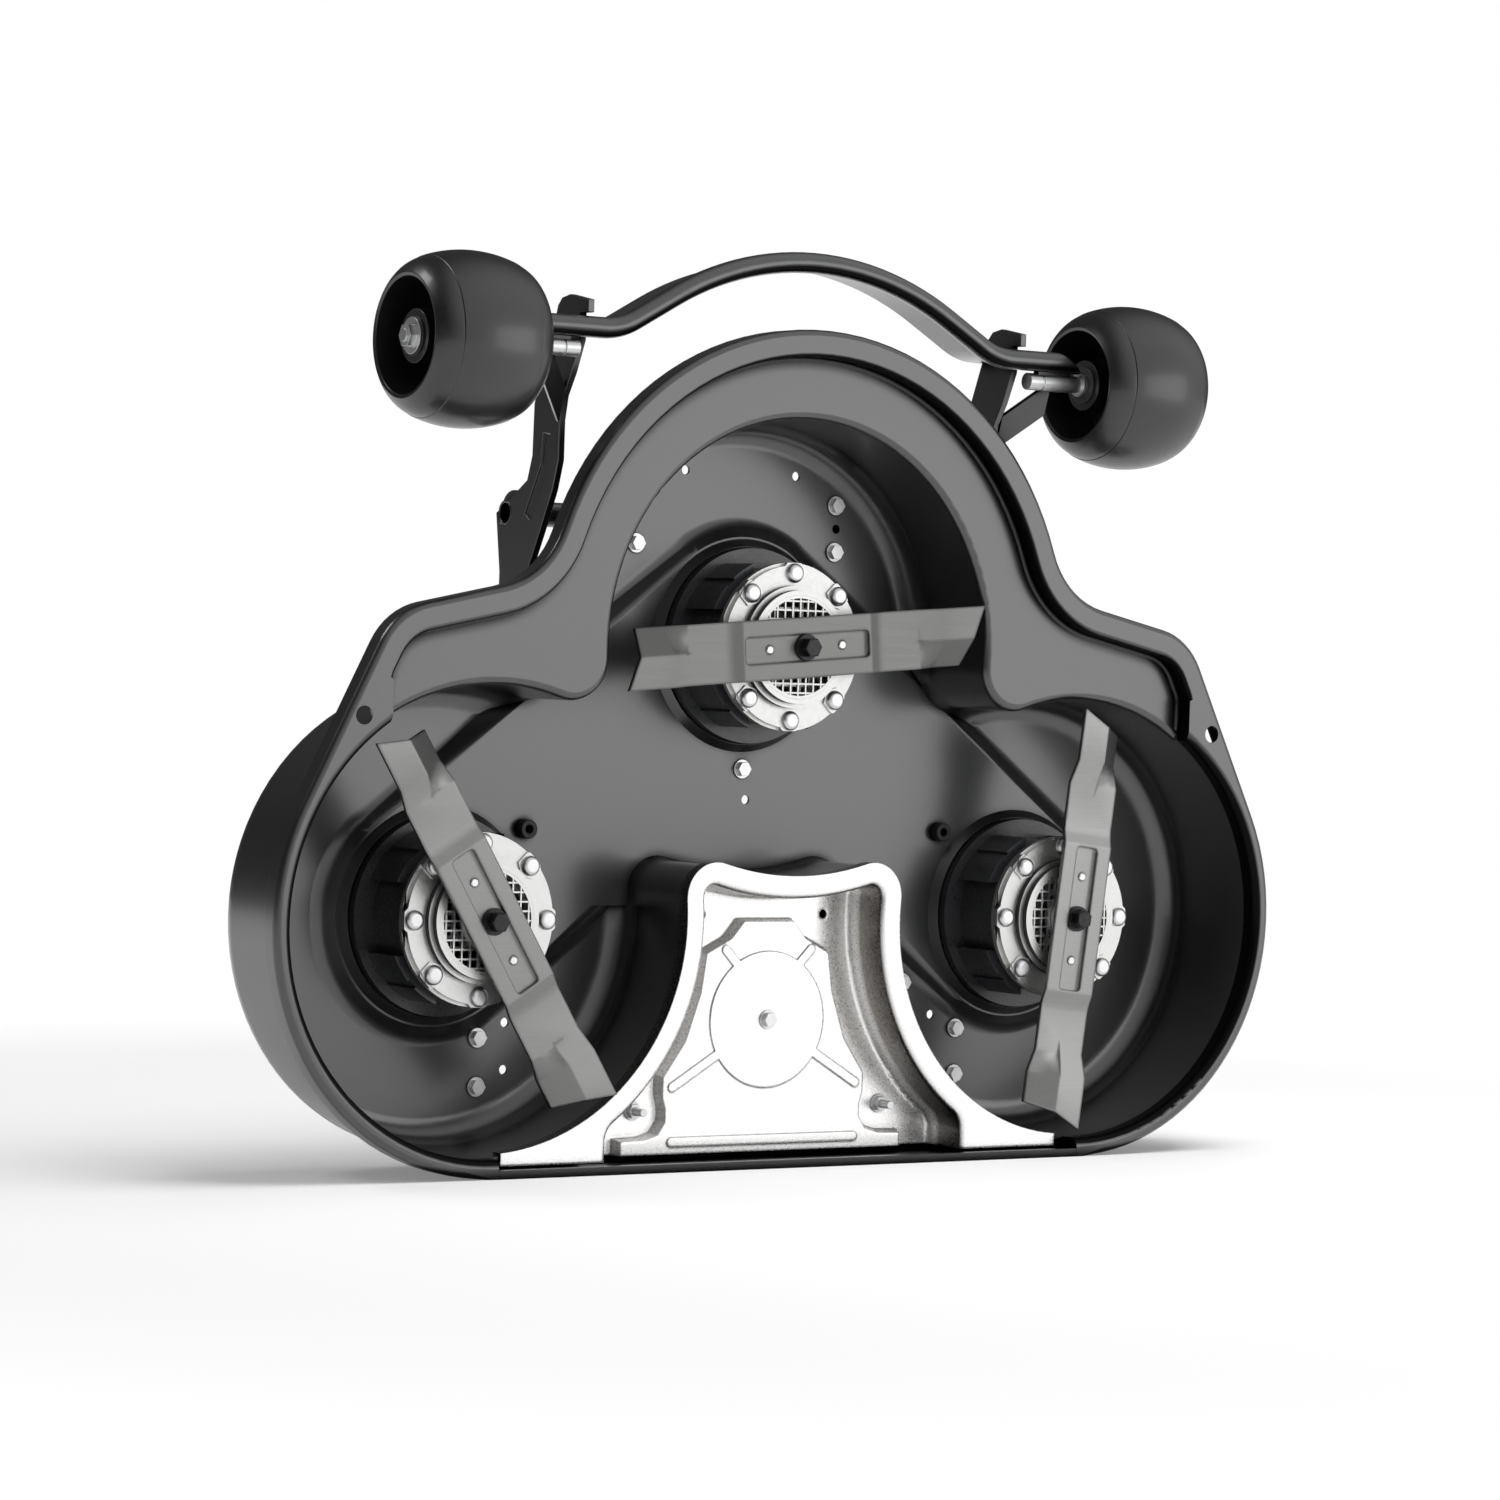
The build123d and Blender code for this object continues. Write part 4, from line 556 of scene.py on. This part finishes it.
GRILLE_FRONT_Y = RIM_Y + 0.028
GRILLE_MESH = 0.003
for hub, middle in HUBS.items():
    bars = grown(hub + "_grille_bars", bars_tree, {
        "Bars": 11, "Pitch": 0.0088, "Ring Radius": 0.0484, "Hub Radius": 0.0262, "Bar Width": 0.0016,
        "Bar Depth": 0.0024, "Ring Width": 0.003, "Finish": silver,
        "Middle": (middle.x, GRILLE_FRONT_Y + GRILLE_MESH / 2, middle.z),
    })
    cup = joined(hub + "_motor_grille")
    mesh_back = GRILLE_FRONT_Y + GRILLE_MESH + 0.0001
    plain_mesh = [face for face in cup.faces if max(v.co.y for v in face.verts) < mesh_back]
    bmesh.ops.delete(cup, geom=plain_mesh, context="FACES")
    cup.from_mesh(bars.data)
    bpy.data.objects.remove(bars)
    stand_in(cup, hub + "_motor_grille", silver)


# Bearings, stators, rotors and shafts: the running parts inside the motors, hidden behind the grilles.
# Ground bearing steel and stacked lamination steel, both plain greys with fine turning or sheet lines.
ground, tree = new_finish("bearing_steel")
place = add_node(tree, "ShaderNodeTexCoord").outputs["Object"]
turning = add_node(tree, "ShaderNodeTexNoise", {"Vector": place, "Scale": 1 / 0.0015, "Detail": 1.0})
gloss = add_node(tree, "ShaderNodeMapRange", {
    "Value": turning.outputs["Fac"], "To Min": 0.16, "To Max": 0.32,
})
shader = add_node(tree, "ShaderNodeBsdfPrincipled", {
    "Base Color": linear("#8f9193"), "Roughness": gloss.outputs["Result"], "Metallic": 1.0,
})
add_node(tree, "ShaderNodeOutputMaterial", {"Surface": shader.outputs["BSDF"]})
stack, tree = new_finish("lamination_steel")
place = add_node(tree, "ShaderNodeTexCoord").outputs["Object"]
sheets = add_node(tree, "ShaderNodeTexWave", {"Vector": place, "Scale": 1 / 0.02}, bands_direction="Y")
tone = add_node(tree, "ShaderNodeMixRGB", {
    "Fac": sheets.outputs["Fac"], "Color1": linear("#4a4744"), "Color2": linear("#6c6864"),
})
shader = add_node(tree, "ShaderNodeBsdfPrincipled", {
    "Base Color": tone.outputs["Color"], "Roughness": 0.45, "Metallic": 0.9,
})
add_node(tree, "ShaderNodeOutputMaterial", {"Surface": shader.outputs["BSDF"]})
for hub in HUBS:
    for kind in ("bearing", "motor_shaft"):
        stand_in(joined(f"{hub}_{kind}"), f"{hub}_{kind}", ground)
    for kind in ("stator", "rotor"):
        stand_in(joined(f"{hub}_{kind}"), f"{hub}_{kind}", stack)


# Blades and hubs: each blade is a hardened steel bar with a joggled pad, a sunk channel and bent tips.
# It bolts to a hub on the motor shaft. Satin rolled steel: mid grey, with fine lines along the bar.
BLADE_PAD = 0.0739
BLADE_RAMP = 0.0882
BLADE_SEAT_Y = RIM_Y + 0.0172
CHANNEL_END = 0.0735
CHANNEL_HALF = 0.0145
BOLT_HOLE_R = 0.009
LEAST_BEND, MOST_BEND, CORNER_TURN = 8, 50, 60
CHANNEL_ROUND = 0.0016
FOLD_ROUND = 0.002
TIP_ROUND = 0.006
RAMP_ROUND = 0.005
blade_turns = {"front": 4.9, "left": 121.7, "right": 83.0}
# Painted light: each blade is given a different tone of the same steel, darkest on the front one and lightest
# on the right one, for how each catches the light.
blade_painted_tones = {
    "front": ("#686867", "#757574"),
    "left": ("#7a7a79", "#8a8a89"),
    "right": ("#878786", "#979796"),
}
for hub, turn in blade_turns.items():
    steel, tree = new_finish(f"blade_steel_{hub}")
    place = add_node(tree, "ShaderNodeTexCoord").outputs["Object"]
    along = add_node(tree, "ShaderNodeMapping", {
        "Vector": place, "Rotation": (0.0, math.radians(turn), 0.0),
        "Scale": (1 / 0.06, 1 / 0.0016, 1 / 0.0016),
    })
    lines = add_node(tree, "ShaderNodeTexNoise", {
        "Vector": along.outputs["Vector"], "Scale": 1.0, "Detail": 3.0,
    })
    tone = add_node(tree, "ShaderNodeMixRGB", {
        "Fac": lines.outputs["Fac"],
        "Color1": linear(blade_painted_tones[hub][0]), "Color2": linear(blade_painted_tones[hub][1]),
    })
    gloss = add_node(tree, "ShaderNodeMapRange", {
        "Value": lines.outputs["Fac"], "From Min": 0.3, "From Max": 0.7, "To Min": 0.34, "To Max": 0.44,
    })
    turned = add_node(tree, "ShaderNodeBevel", {"Radius": 0.0035}, samples=6)
    shader = add_node(tree, "ShaderNodeBsdfPrincipled", {
        "Base Color": tone.outputs["Color"], "Roughness": gloss.outputs["Result"], "Metallic": 1.0,
        "Normal": turned.outputs["Normal"],
    })
    add_node(tree, "ShaderNodeOutputMaterial", {"Surface": shader.outputs["BSDF"]})
    blade = joined(hub + "_blade")
    angle = math.radians(turn)
    along_bar = Vector((math.cos(angle), 0.0, math.sin(angle)))
    ramps = []
    tips = []
    folds = []
    channel = []
    for bend in blade.edges:
        sharp = math.degrees(bend.calc_face_angle(0.0))
        run = (bend.verts[1].co - bend.verts[0].co).normalized()
        reach = max(abs((v.co - HUBS[hub]).dot(along_bar)) for v in bend.verts)
        out = max(math.hypot(v.co.x - HUBS[hub].x, v.co.z - HUBS[hub].z) for v in bend.verts)
        across = math.sqrt(max(out * out - reach * reach, 0.0))
        in_channel = reach < CHANNEL_END and across < CHANNEL_HALF and out > BOLT_HOLE_R
        on_ramp = abs(reach - BLADE_RAMP) < 0.001 and bend.verts[0].co.y < BLADE_SEAT_Y + 0.0005
        bent = LEAST_BEND < sharp < MOST_BEND
        if bent and abs(run.dot(along_bar)) > 0.6:
            folds.append(bend)
        elif bent and on_ramp:
            ramps.append(bend)
        elif bent:
            tips.append(bend)
        elif sharp > CORNER_TURN and abs(run.y) < 0.1 and in_channel:
            channel.append(bend)
    groups = ((channel, CHANNEL_ROUND), (folds, FOLD_ROUND), (tips, TIP_ROUND), (ramps, RAMP_ROUND))
    for group, radius in groups:
        bmesh.ops.bevel(
            blade, geom=[e for e in group if e.is_valid], offset=radius, offset_type="OFFSET",
            segments=4, profile=0.5, affect="EDGES", clamp_overlap=group is not ramps,
        )
    stand_in(blade, hub + "_blade", steel, edge=0.0009)
    stand_in(joined(hub + "_blade_hub"), hub + "_blade_hub", silver)


# Shear pins: two steel pins pressed into each blade's pad, one each side of its bolt.
# They are zinc-plated as the bolts are, with a small chamfer on the end that shows.
pins_tree = bpy.data.node_groups.new("shear_pins", "GeometryNodeTree")
pins_tree.interface.new_socket(name="Geometry", in_out="OUTPUT", socket_type="NodeSocketGeometry")
for name in ("Radius", "Length", "Chamfer", "Spacing", "Turn"):
    pins_tree.interface.new_socket(name=name, in_out="INPUT", socket_type="NodeSocketFloat")
pins_tree.interface.new_socket(name="Front", in_out="INPUT", socket_type="NodeSocketVector")
pins_tree.interface.new_socket(name="Finish", in_out="INPUT", socket_type="NodeSocketMaterial")
given = add_node(pins_tree, "NodeGroupInput").outputs
body = add_node(pins_tree, "ShaderNodeMath", {0: given["Length"], 1: given["Chamfer"]}, operation="SUBTRACT")
shank = add_node(pins_tree, "GeometryNodeMeshCone", {
    "Vertices": 28, "Radius Top": given["Radius"], "Radius Bottom": given["Radius"],
    "Depth": body.outputs["Value"],
})
point = add_node(pins_tree, "ShaderNodeMath", {0: given["Radius"], 1: given["Chamfer"]}, operation="SUBTRACT")
tip = add_node(pins_tree, "GeometryNodeMeshCone", {
    "Vertices": 28, "Radius Top": point.outputs["Value"], "Radius Bottom": given["Radius"],
    "Depth": given["Chamfer"],
})
rise = add_node(pins_tree, "ShaderNodeCombineXYZ", {"Z": body.outputs["Value"]})
tip = add_node(pins_tree, "GeometryNodeTransform", {
    "Geometry": tip.outputs["Mesh"], "Translation": rise.outputs["Vector"],
})
pin = add_node(pins_tree, "GeometryNodeJoinGeometry")
for part in (shank.outputs["Mesh"], tip.outputs["Geometry"]):
    pins_tree.links.new(part, pin.inputs["Geometry"])
drop = add_node(pins_tree, "ShaderNodeMath", {0: given["Length"], 1: -1.0}, operation="MULTIPLY")
drop = add_node(pins_tree, "ShaderNodeCombineXYZ", {"Z": drop.outputs["Value"]})
pin = add_node(pins_tree, "GeometryNodeTransform", {
    "Geometry": pin.outputs["Geometry"], "Translation": drop.outputs["Vector"],
})
pin = add_node(pins_tree, "GeometryNodeTransform", {
    "Geometry": pin.outputs["Geometry"], "Rotation": (math.pi / 2, 0, 0),
})
half = add_node(pins_tree, "ShaderNodeMath", {0: given["Spacing"], 1: -0.5}, operation="MULTIPLY")
start = add_node(pins_tree, "ShaderNodeCombineXYZ", {"X": half.outputs["Value"]})
step = add_node(pins_tree, "ShaderNodeCombineXYZ", {"X": given["Spacing"]})
pair = add_node(pins_tree, "GeometryNodeMeshLine", {
    "Count": 2, "Start Location": start.outputs["Vector"], "Offset": step.outputs["Vector"],
})
pins = add_node(pins_tree, "GeometryNodeInstanceOnPoints", {
    "Points": pair.outputs["Mesh"], "Instance": pin.outputs["Geometry"],
})
angle = add_node(pins_tree, "ShaderNodeCombineXYZ", {"Y": given["Turn"]})
seated = add_node(pins_tree, "GeometryNodeTransform", {
    "Geometry": pins.outputs["Instances"], "Translation": given["Front"], "Rotation": angle.outputs["Vector"],
})
solid = add_node(pins_tree, "GeometryNodeRealizeInstances", {"Geometry": seated.outputs["Geometry"]})
dressed = add_node(pins_tree, "GeometryNodeSetMaterial", {
    "Geometry": solid.outputs["Geometry"], "Material": given["Finish"],
})
add_node(pins_tree, "NodeGroupOutput", {"Geometry": dressed.outputs["Geometry"]})
PIN_FRONT_Y = RIM_Y + 0.0157
PIN_SPACING = 1.14 * BLADE_PAD
for hub, turn in blade_turns.items():
    pins = grown(hub + "_shear_pins", pins_tree, {
        "Radius": 0.004, "Length": 0.0075, "Chamfer": 0.0008, "Spacing": PIN_SPACING,
        "Turn": -math.radians(turn), "Front": (HUBS[hub].x, PIN_FRONT_Y, HUBS[hub].z), "Finish": zinc,
    })
    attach(pins, hub + "_spindle")


# Blade bolts: high-tensile hex bolts with a washer, screwed into the shaft through the blade.
# Blackened steel: a dark oxide with an oily gloss, worn a little paler in patches.
black_oxide, tree = new_finish("blackened_steel")
place = add_node(tree, "ShaderNodeTexCoord").outputs["Object"]
patch = add_node(tree, "ShaderNodeTexNoise", {"Vector": place, "Scale": 1 / 0.005, "Detail": 4.0})
tone = add_node(tree, "ShaderNodeMixRGB", {
    "Fac": patch.outputs["Fac"], "Color1": linear("#1e1f21"), "Color2": linear("#3a3a3b"),
})
shader = add_node(tree, "ShaderNodeBsdfPrincipled", {
    "Base Color": tone.outputs["Color"], "Roughness": 0.34, "Metallic": 0.8,
})
add_node(tree, "ShaderNodeOutputMaterial", {"Surface": shader.outputs["BSDF"]})
for hub in HUBS:
    stand_in(joined(hub + "_blade_bolt"), hub + "_blade_bolt", black_oxide, edge=0.0004)


# Front carriage: a bent bumper tube with a guard sheet, and arms on a cross tube held by two brackets.
# All are steel, cut, bent and welded, and powder-coated black as the deck is.
carriage = ["bumper_tube", "bumper_sheet", "cross_tube"]
carriage += [f"{side}_{kind}" for side in ("left", "right") for kind in ("arm", "bracket", "axle_brace")]
for node in carriage:
    stand_in(joined(node), node, coat, edge=0.0008)


# Front wheels: hollow anti-scalp rollers moulded in two halves, which spin on bushes on bolted axles.
# Moulded polypropylene: black, satin, with a faint texture from the mould. The bushes are grey nylon.
plastic, tree = new_finish("black_wheel_plastic")
place = add_node(tree, "ShaderNodeTexCoord").outputs["Object"]
mould = add_node(tree, "ShaderNodeTexNoise", {"Vector": place, "Scale": 1 / 0.0022, "Detail": 2.0})
flow = add_node(tree, "ShaderNodeTexNoise", {"Vector": place, "Scale": 1 / 0.05, "Detail": 3.0})
tone = add_node(tree, "ShaderNodeMixRGB", {
    "Fac": flow.outputs["Fac"], "Color1": linear("#121213"), "Color2": linear("#191a1b"),
})
gloss = add_node(tree, "ShaderNodeMapRange", {
    "Value": mould.outputs["Fac"], "From Min": 0.3, "From Max": 0.7, "To Min": 0.32, "To Max": 0.4,
})
skin = add_node(tree, "ShaderNodeBump", {
    "Strength": 0.06, "Distance": 0.0004, "Height": mould.outputs["Fac"],
})
shader = add_node(tree, "ShaderNodeBsdfPrincipled", {
    "Base Color": tone.outputs["Color"], "Roughness": gloss.outputs["Result"],
    "Normal": skin.outputs["Normal"], "IOR": 1.49, "Specular IOR Level": 0.8,
    "Coat Weight": 0.3, "Coat Roughness": 0.14,
})
add_node(tree, "ShaderNodeOutputMaterial", {"Surface": shader.outputs["BSDF"]})
grey_plastic, tree = new_finish("grey_bush_plastic")
place = add_node(tree, "ShaderNodeTexCoord").outputs["Object"]
mould = add_node(tree, "ShaderNodeTexNoise", {"Vector": place, "Scale": 1 / 0.002, "Detail": 2.0})
tone = add_node(tree, "ShaderNodeMixRGB", {
    "Fac": mould.outputs["Fac"], "Color1": linear("#3c3d3e"), "Color2": linear("#474849"),
})
shader = add_node(tree, "ShaderNodeBsdfPrincipled", {
    "Base Color": tone.outputs["Color"], "Roughness": 0.42,
})
add_node(tree, "ShaderNodeOutputMaterial", {"Surface": shader.outputs["BSDF"]})
for side in ("left", "right"):
    stand_in(joined(side + "_wheel"), side + "_wheel", plastic, edge=0.0006, crease=40)
    bushes = side + "_wheel_bushes"
    stand_in(joined(bushes), bushes, grey_plastic, edge=0.0004)
    stand_in(joined(side + "_axle"), side + "_axle", zinc, edge=0.0008)
    stand_in(joined(side + "_axle_nut"), side + "_axle_nut", zinc, edge=0.0008)


# Studio: a white floor that keeps the soft shadow near the deck, a white room and three soft boxes.
# The floor turns to plain white away from the deck, as the picture's background does.
def rays_to_eye(tree):
    """The light path, and 1 for a ray that the eye sees straight, in a mirror or through glass."""
    rays = add_node(tree, "ShaderNodeLightPath")
    seen = add_node(tree, "ShaderNodeMath", {
        0: rays.outputs["Is Camera Ray"], 1: rays.outputs["Is Glossy Ray"],
    }, operation="MAXIMUM")
    seen = add_node(tree, "ShaderNodeMath", {
        0: seen.outputs["Value"], 1: rays.outputs["Is Transmission Ray"],
    }, operation="MAXIMUM")
    return rays, seen


FLOOR_HALF = 9
corners = [(x * FLOOR_HALF, y * FLOOR_HALF, 0) for x, y in ((-1, -1), (1, -1), (1, 1), (-1, 1))]
floor_mesh = bpy.data.meshes.new("floor")
floor_mesh.from_pydata(corners, [], [(0, 1, 2, 3)])
floor = bpy.data.objects.new("floor", floor_mesh)
bpy.context.scene.collection.objects.link(floor)
sweep, tree = new_finish("white_sweep")
place = add_node(tree, "ShaderNodeTexCoord").outputs["Object"]
reach = add_node(tree, "ShaderNodeVectorMath", {0: place}, operation="LENGTH")
far = add_node(tree, "ShaderNodeMapRange", {
    "Value": reach.outputs["Value"], "From Min": 0.8, "From Max": 1.8,
}, interpolation_type="SMOOTHSTEP")
rays, seen = rays_to_eye(tree)
near_white = add_node(tree, "ShaderNodeMapRange", {
    "Value": far.outputs["Result"], "To Min": 0.2, "To Max": 1.0,
})
glow = add_node(tree, "ShaderNodeMath", {
    0: near_white.outputs["Result"], 1: seen.outputs["Value"],
}, operation="MULTIPLY")
paper = add_node(tree, "ShaderNodeMapRange", {"Value": far.outputs["Result"], "To Min": 0.8, "To Max": 0.02})
matt = add_node(tree, "ShaderNodeBsdfDiffuse", {"Color": paper.outputs["Result"]})
lit = add_node(tree, "ShaderNodeEmission", {"Color": (1, 1, 1, 1), "Strength": glow.outputs["Value"]})
both = add_node(tree, "ShaderNodeAddShader", {0: matt.outputs["BSDF"], 1: lit.outputs["Emission"]})
add_node(tree, "ShaderNodeOutputMaterial", {"Surface": both.outputs["Shader"]})
floor_mesh.materials.append(sweep)

world = bpy.data.worlds.new("white_room")
bpy.context.scene.world = world
world.use_nodes = True
tree = world.node_tree
tree.nodes.clear()
rays, seen = rays_to_eye(tree)
facing = add_node(tree, "ShaderNodeTexCoord").outputs["Generated"]
towards = add_node(tree, "ShaderNodeVectorMath", {0: facing, 1: (0.45, -0.75, 0.5)}, operation="DOT_PRODUCT")
side_light = add_node(tree, "ShaderNodeMapRange", {
    "Value": towards.outputs["Value"], "From Min": 0.1, "From Max": 0.95, "To Min": 0.06, "To Max": 0.9,
}, interpolation_type="SMOOTHSTEP")
level = add_node(tree, "ShaderNodeMapRange", {
    "Value": seen.outputs["Value"], "To Min": 0.2, "To Max": side_light.outputs["Result"],
})
backdrop = add_node(tree, "ShaderNodeMapRange", {
    "Value": rays.outputs["Is Camera Ray"], "To Min": level.outputs["Result"], "To Max": 1.0,
})
room = add_node(tree, "ShaderNodeBackground", {"Color": (1, 1, 1, 1), "Strength": backdrop.outputs["Result"]})
add_node(tree, "ShaderNodeOutputWorld", {"Surface": room.outputs["Background"]})

soft_boxes = (
    ("front_box", (2.05, -3.0, 0.6), (0.0, 0.0, 0.42), 2.8, 2.2, 27.5),
    ("top_box", (0.7, -0.6, 3.0), (0.0, 0.0, 0.4), 2.0, 2.0, 88),
    ("back_box", (-1.6, 0.9, 2.2), (0.0, 0.0, 0.6), 0.7, 0.7, 9),
)
for name, spot, aim, width, height, power in soft_boxes:
    lamp = bpy.data.objects.new(name, bpy.data.lights.new(name, "AREA"))
    lamp.data.shape = "RECTANGLE"
    lamp.data.size = width
    lamp.data.size_y = height
    lamp.data.energy = power
    lamp.location = spot
    lamp.rotation_euler = (Vector(aim) - Vector(spot)).to_track_quat("-Z", "Y").to_euler()
    lamp.visible_glossy = name != "top_box"
    bpy.context.scene.collection.objects.link(lamp)
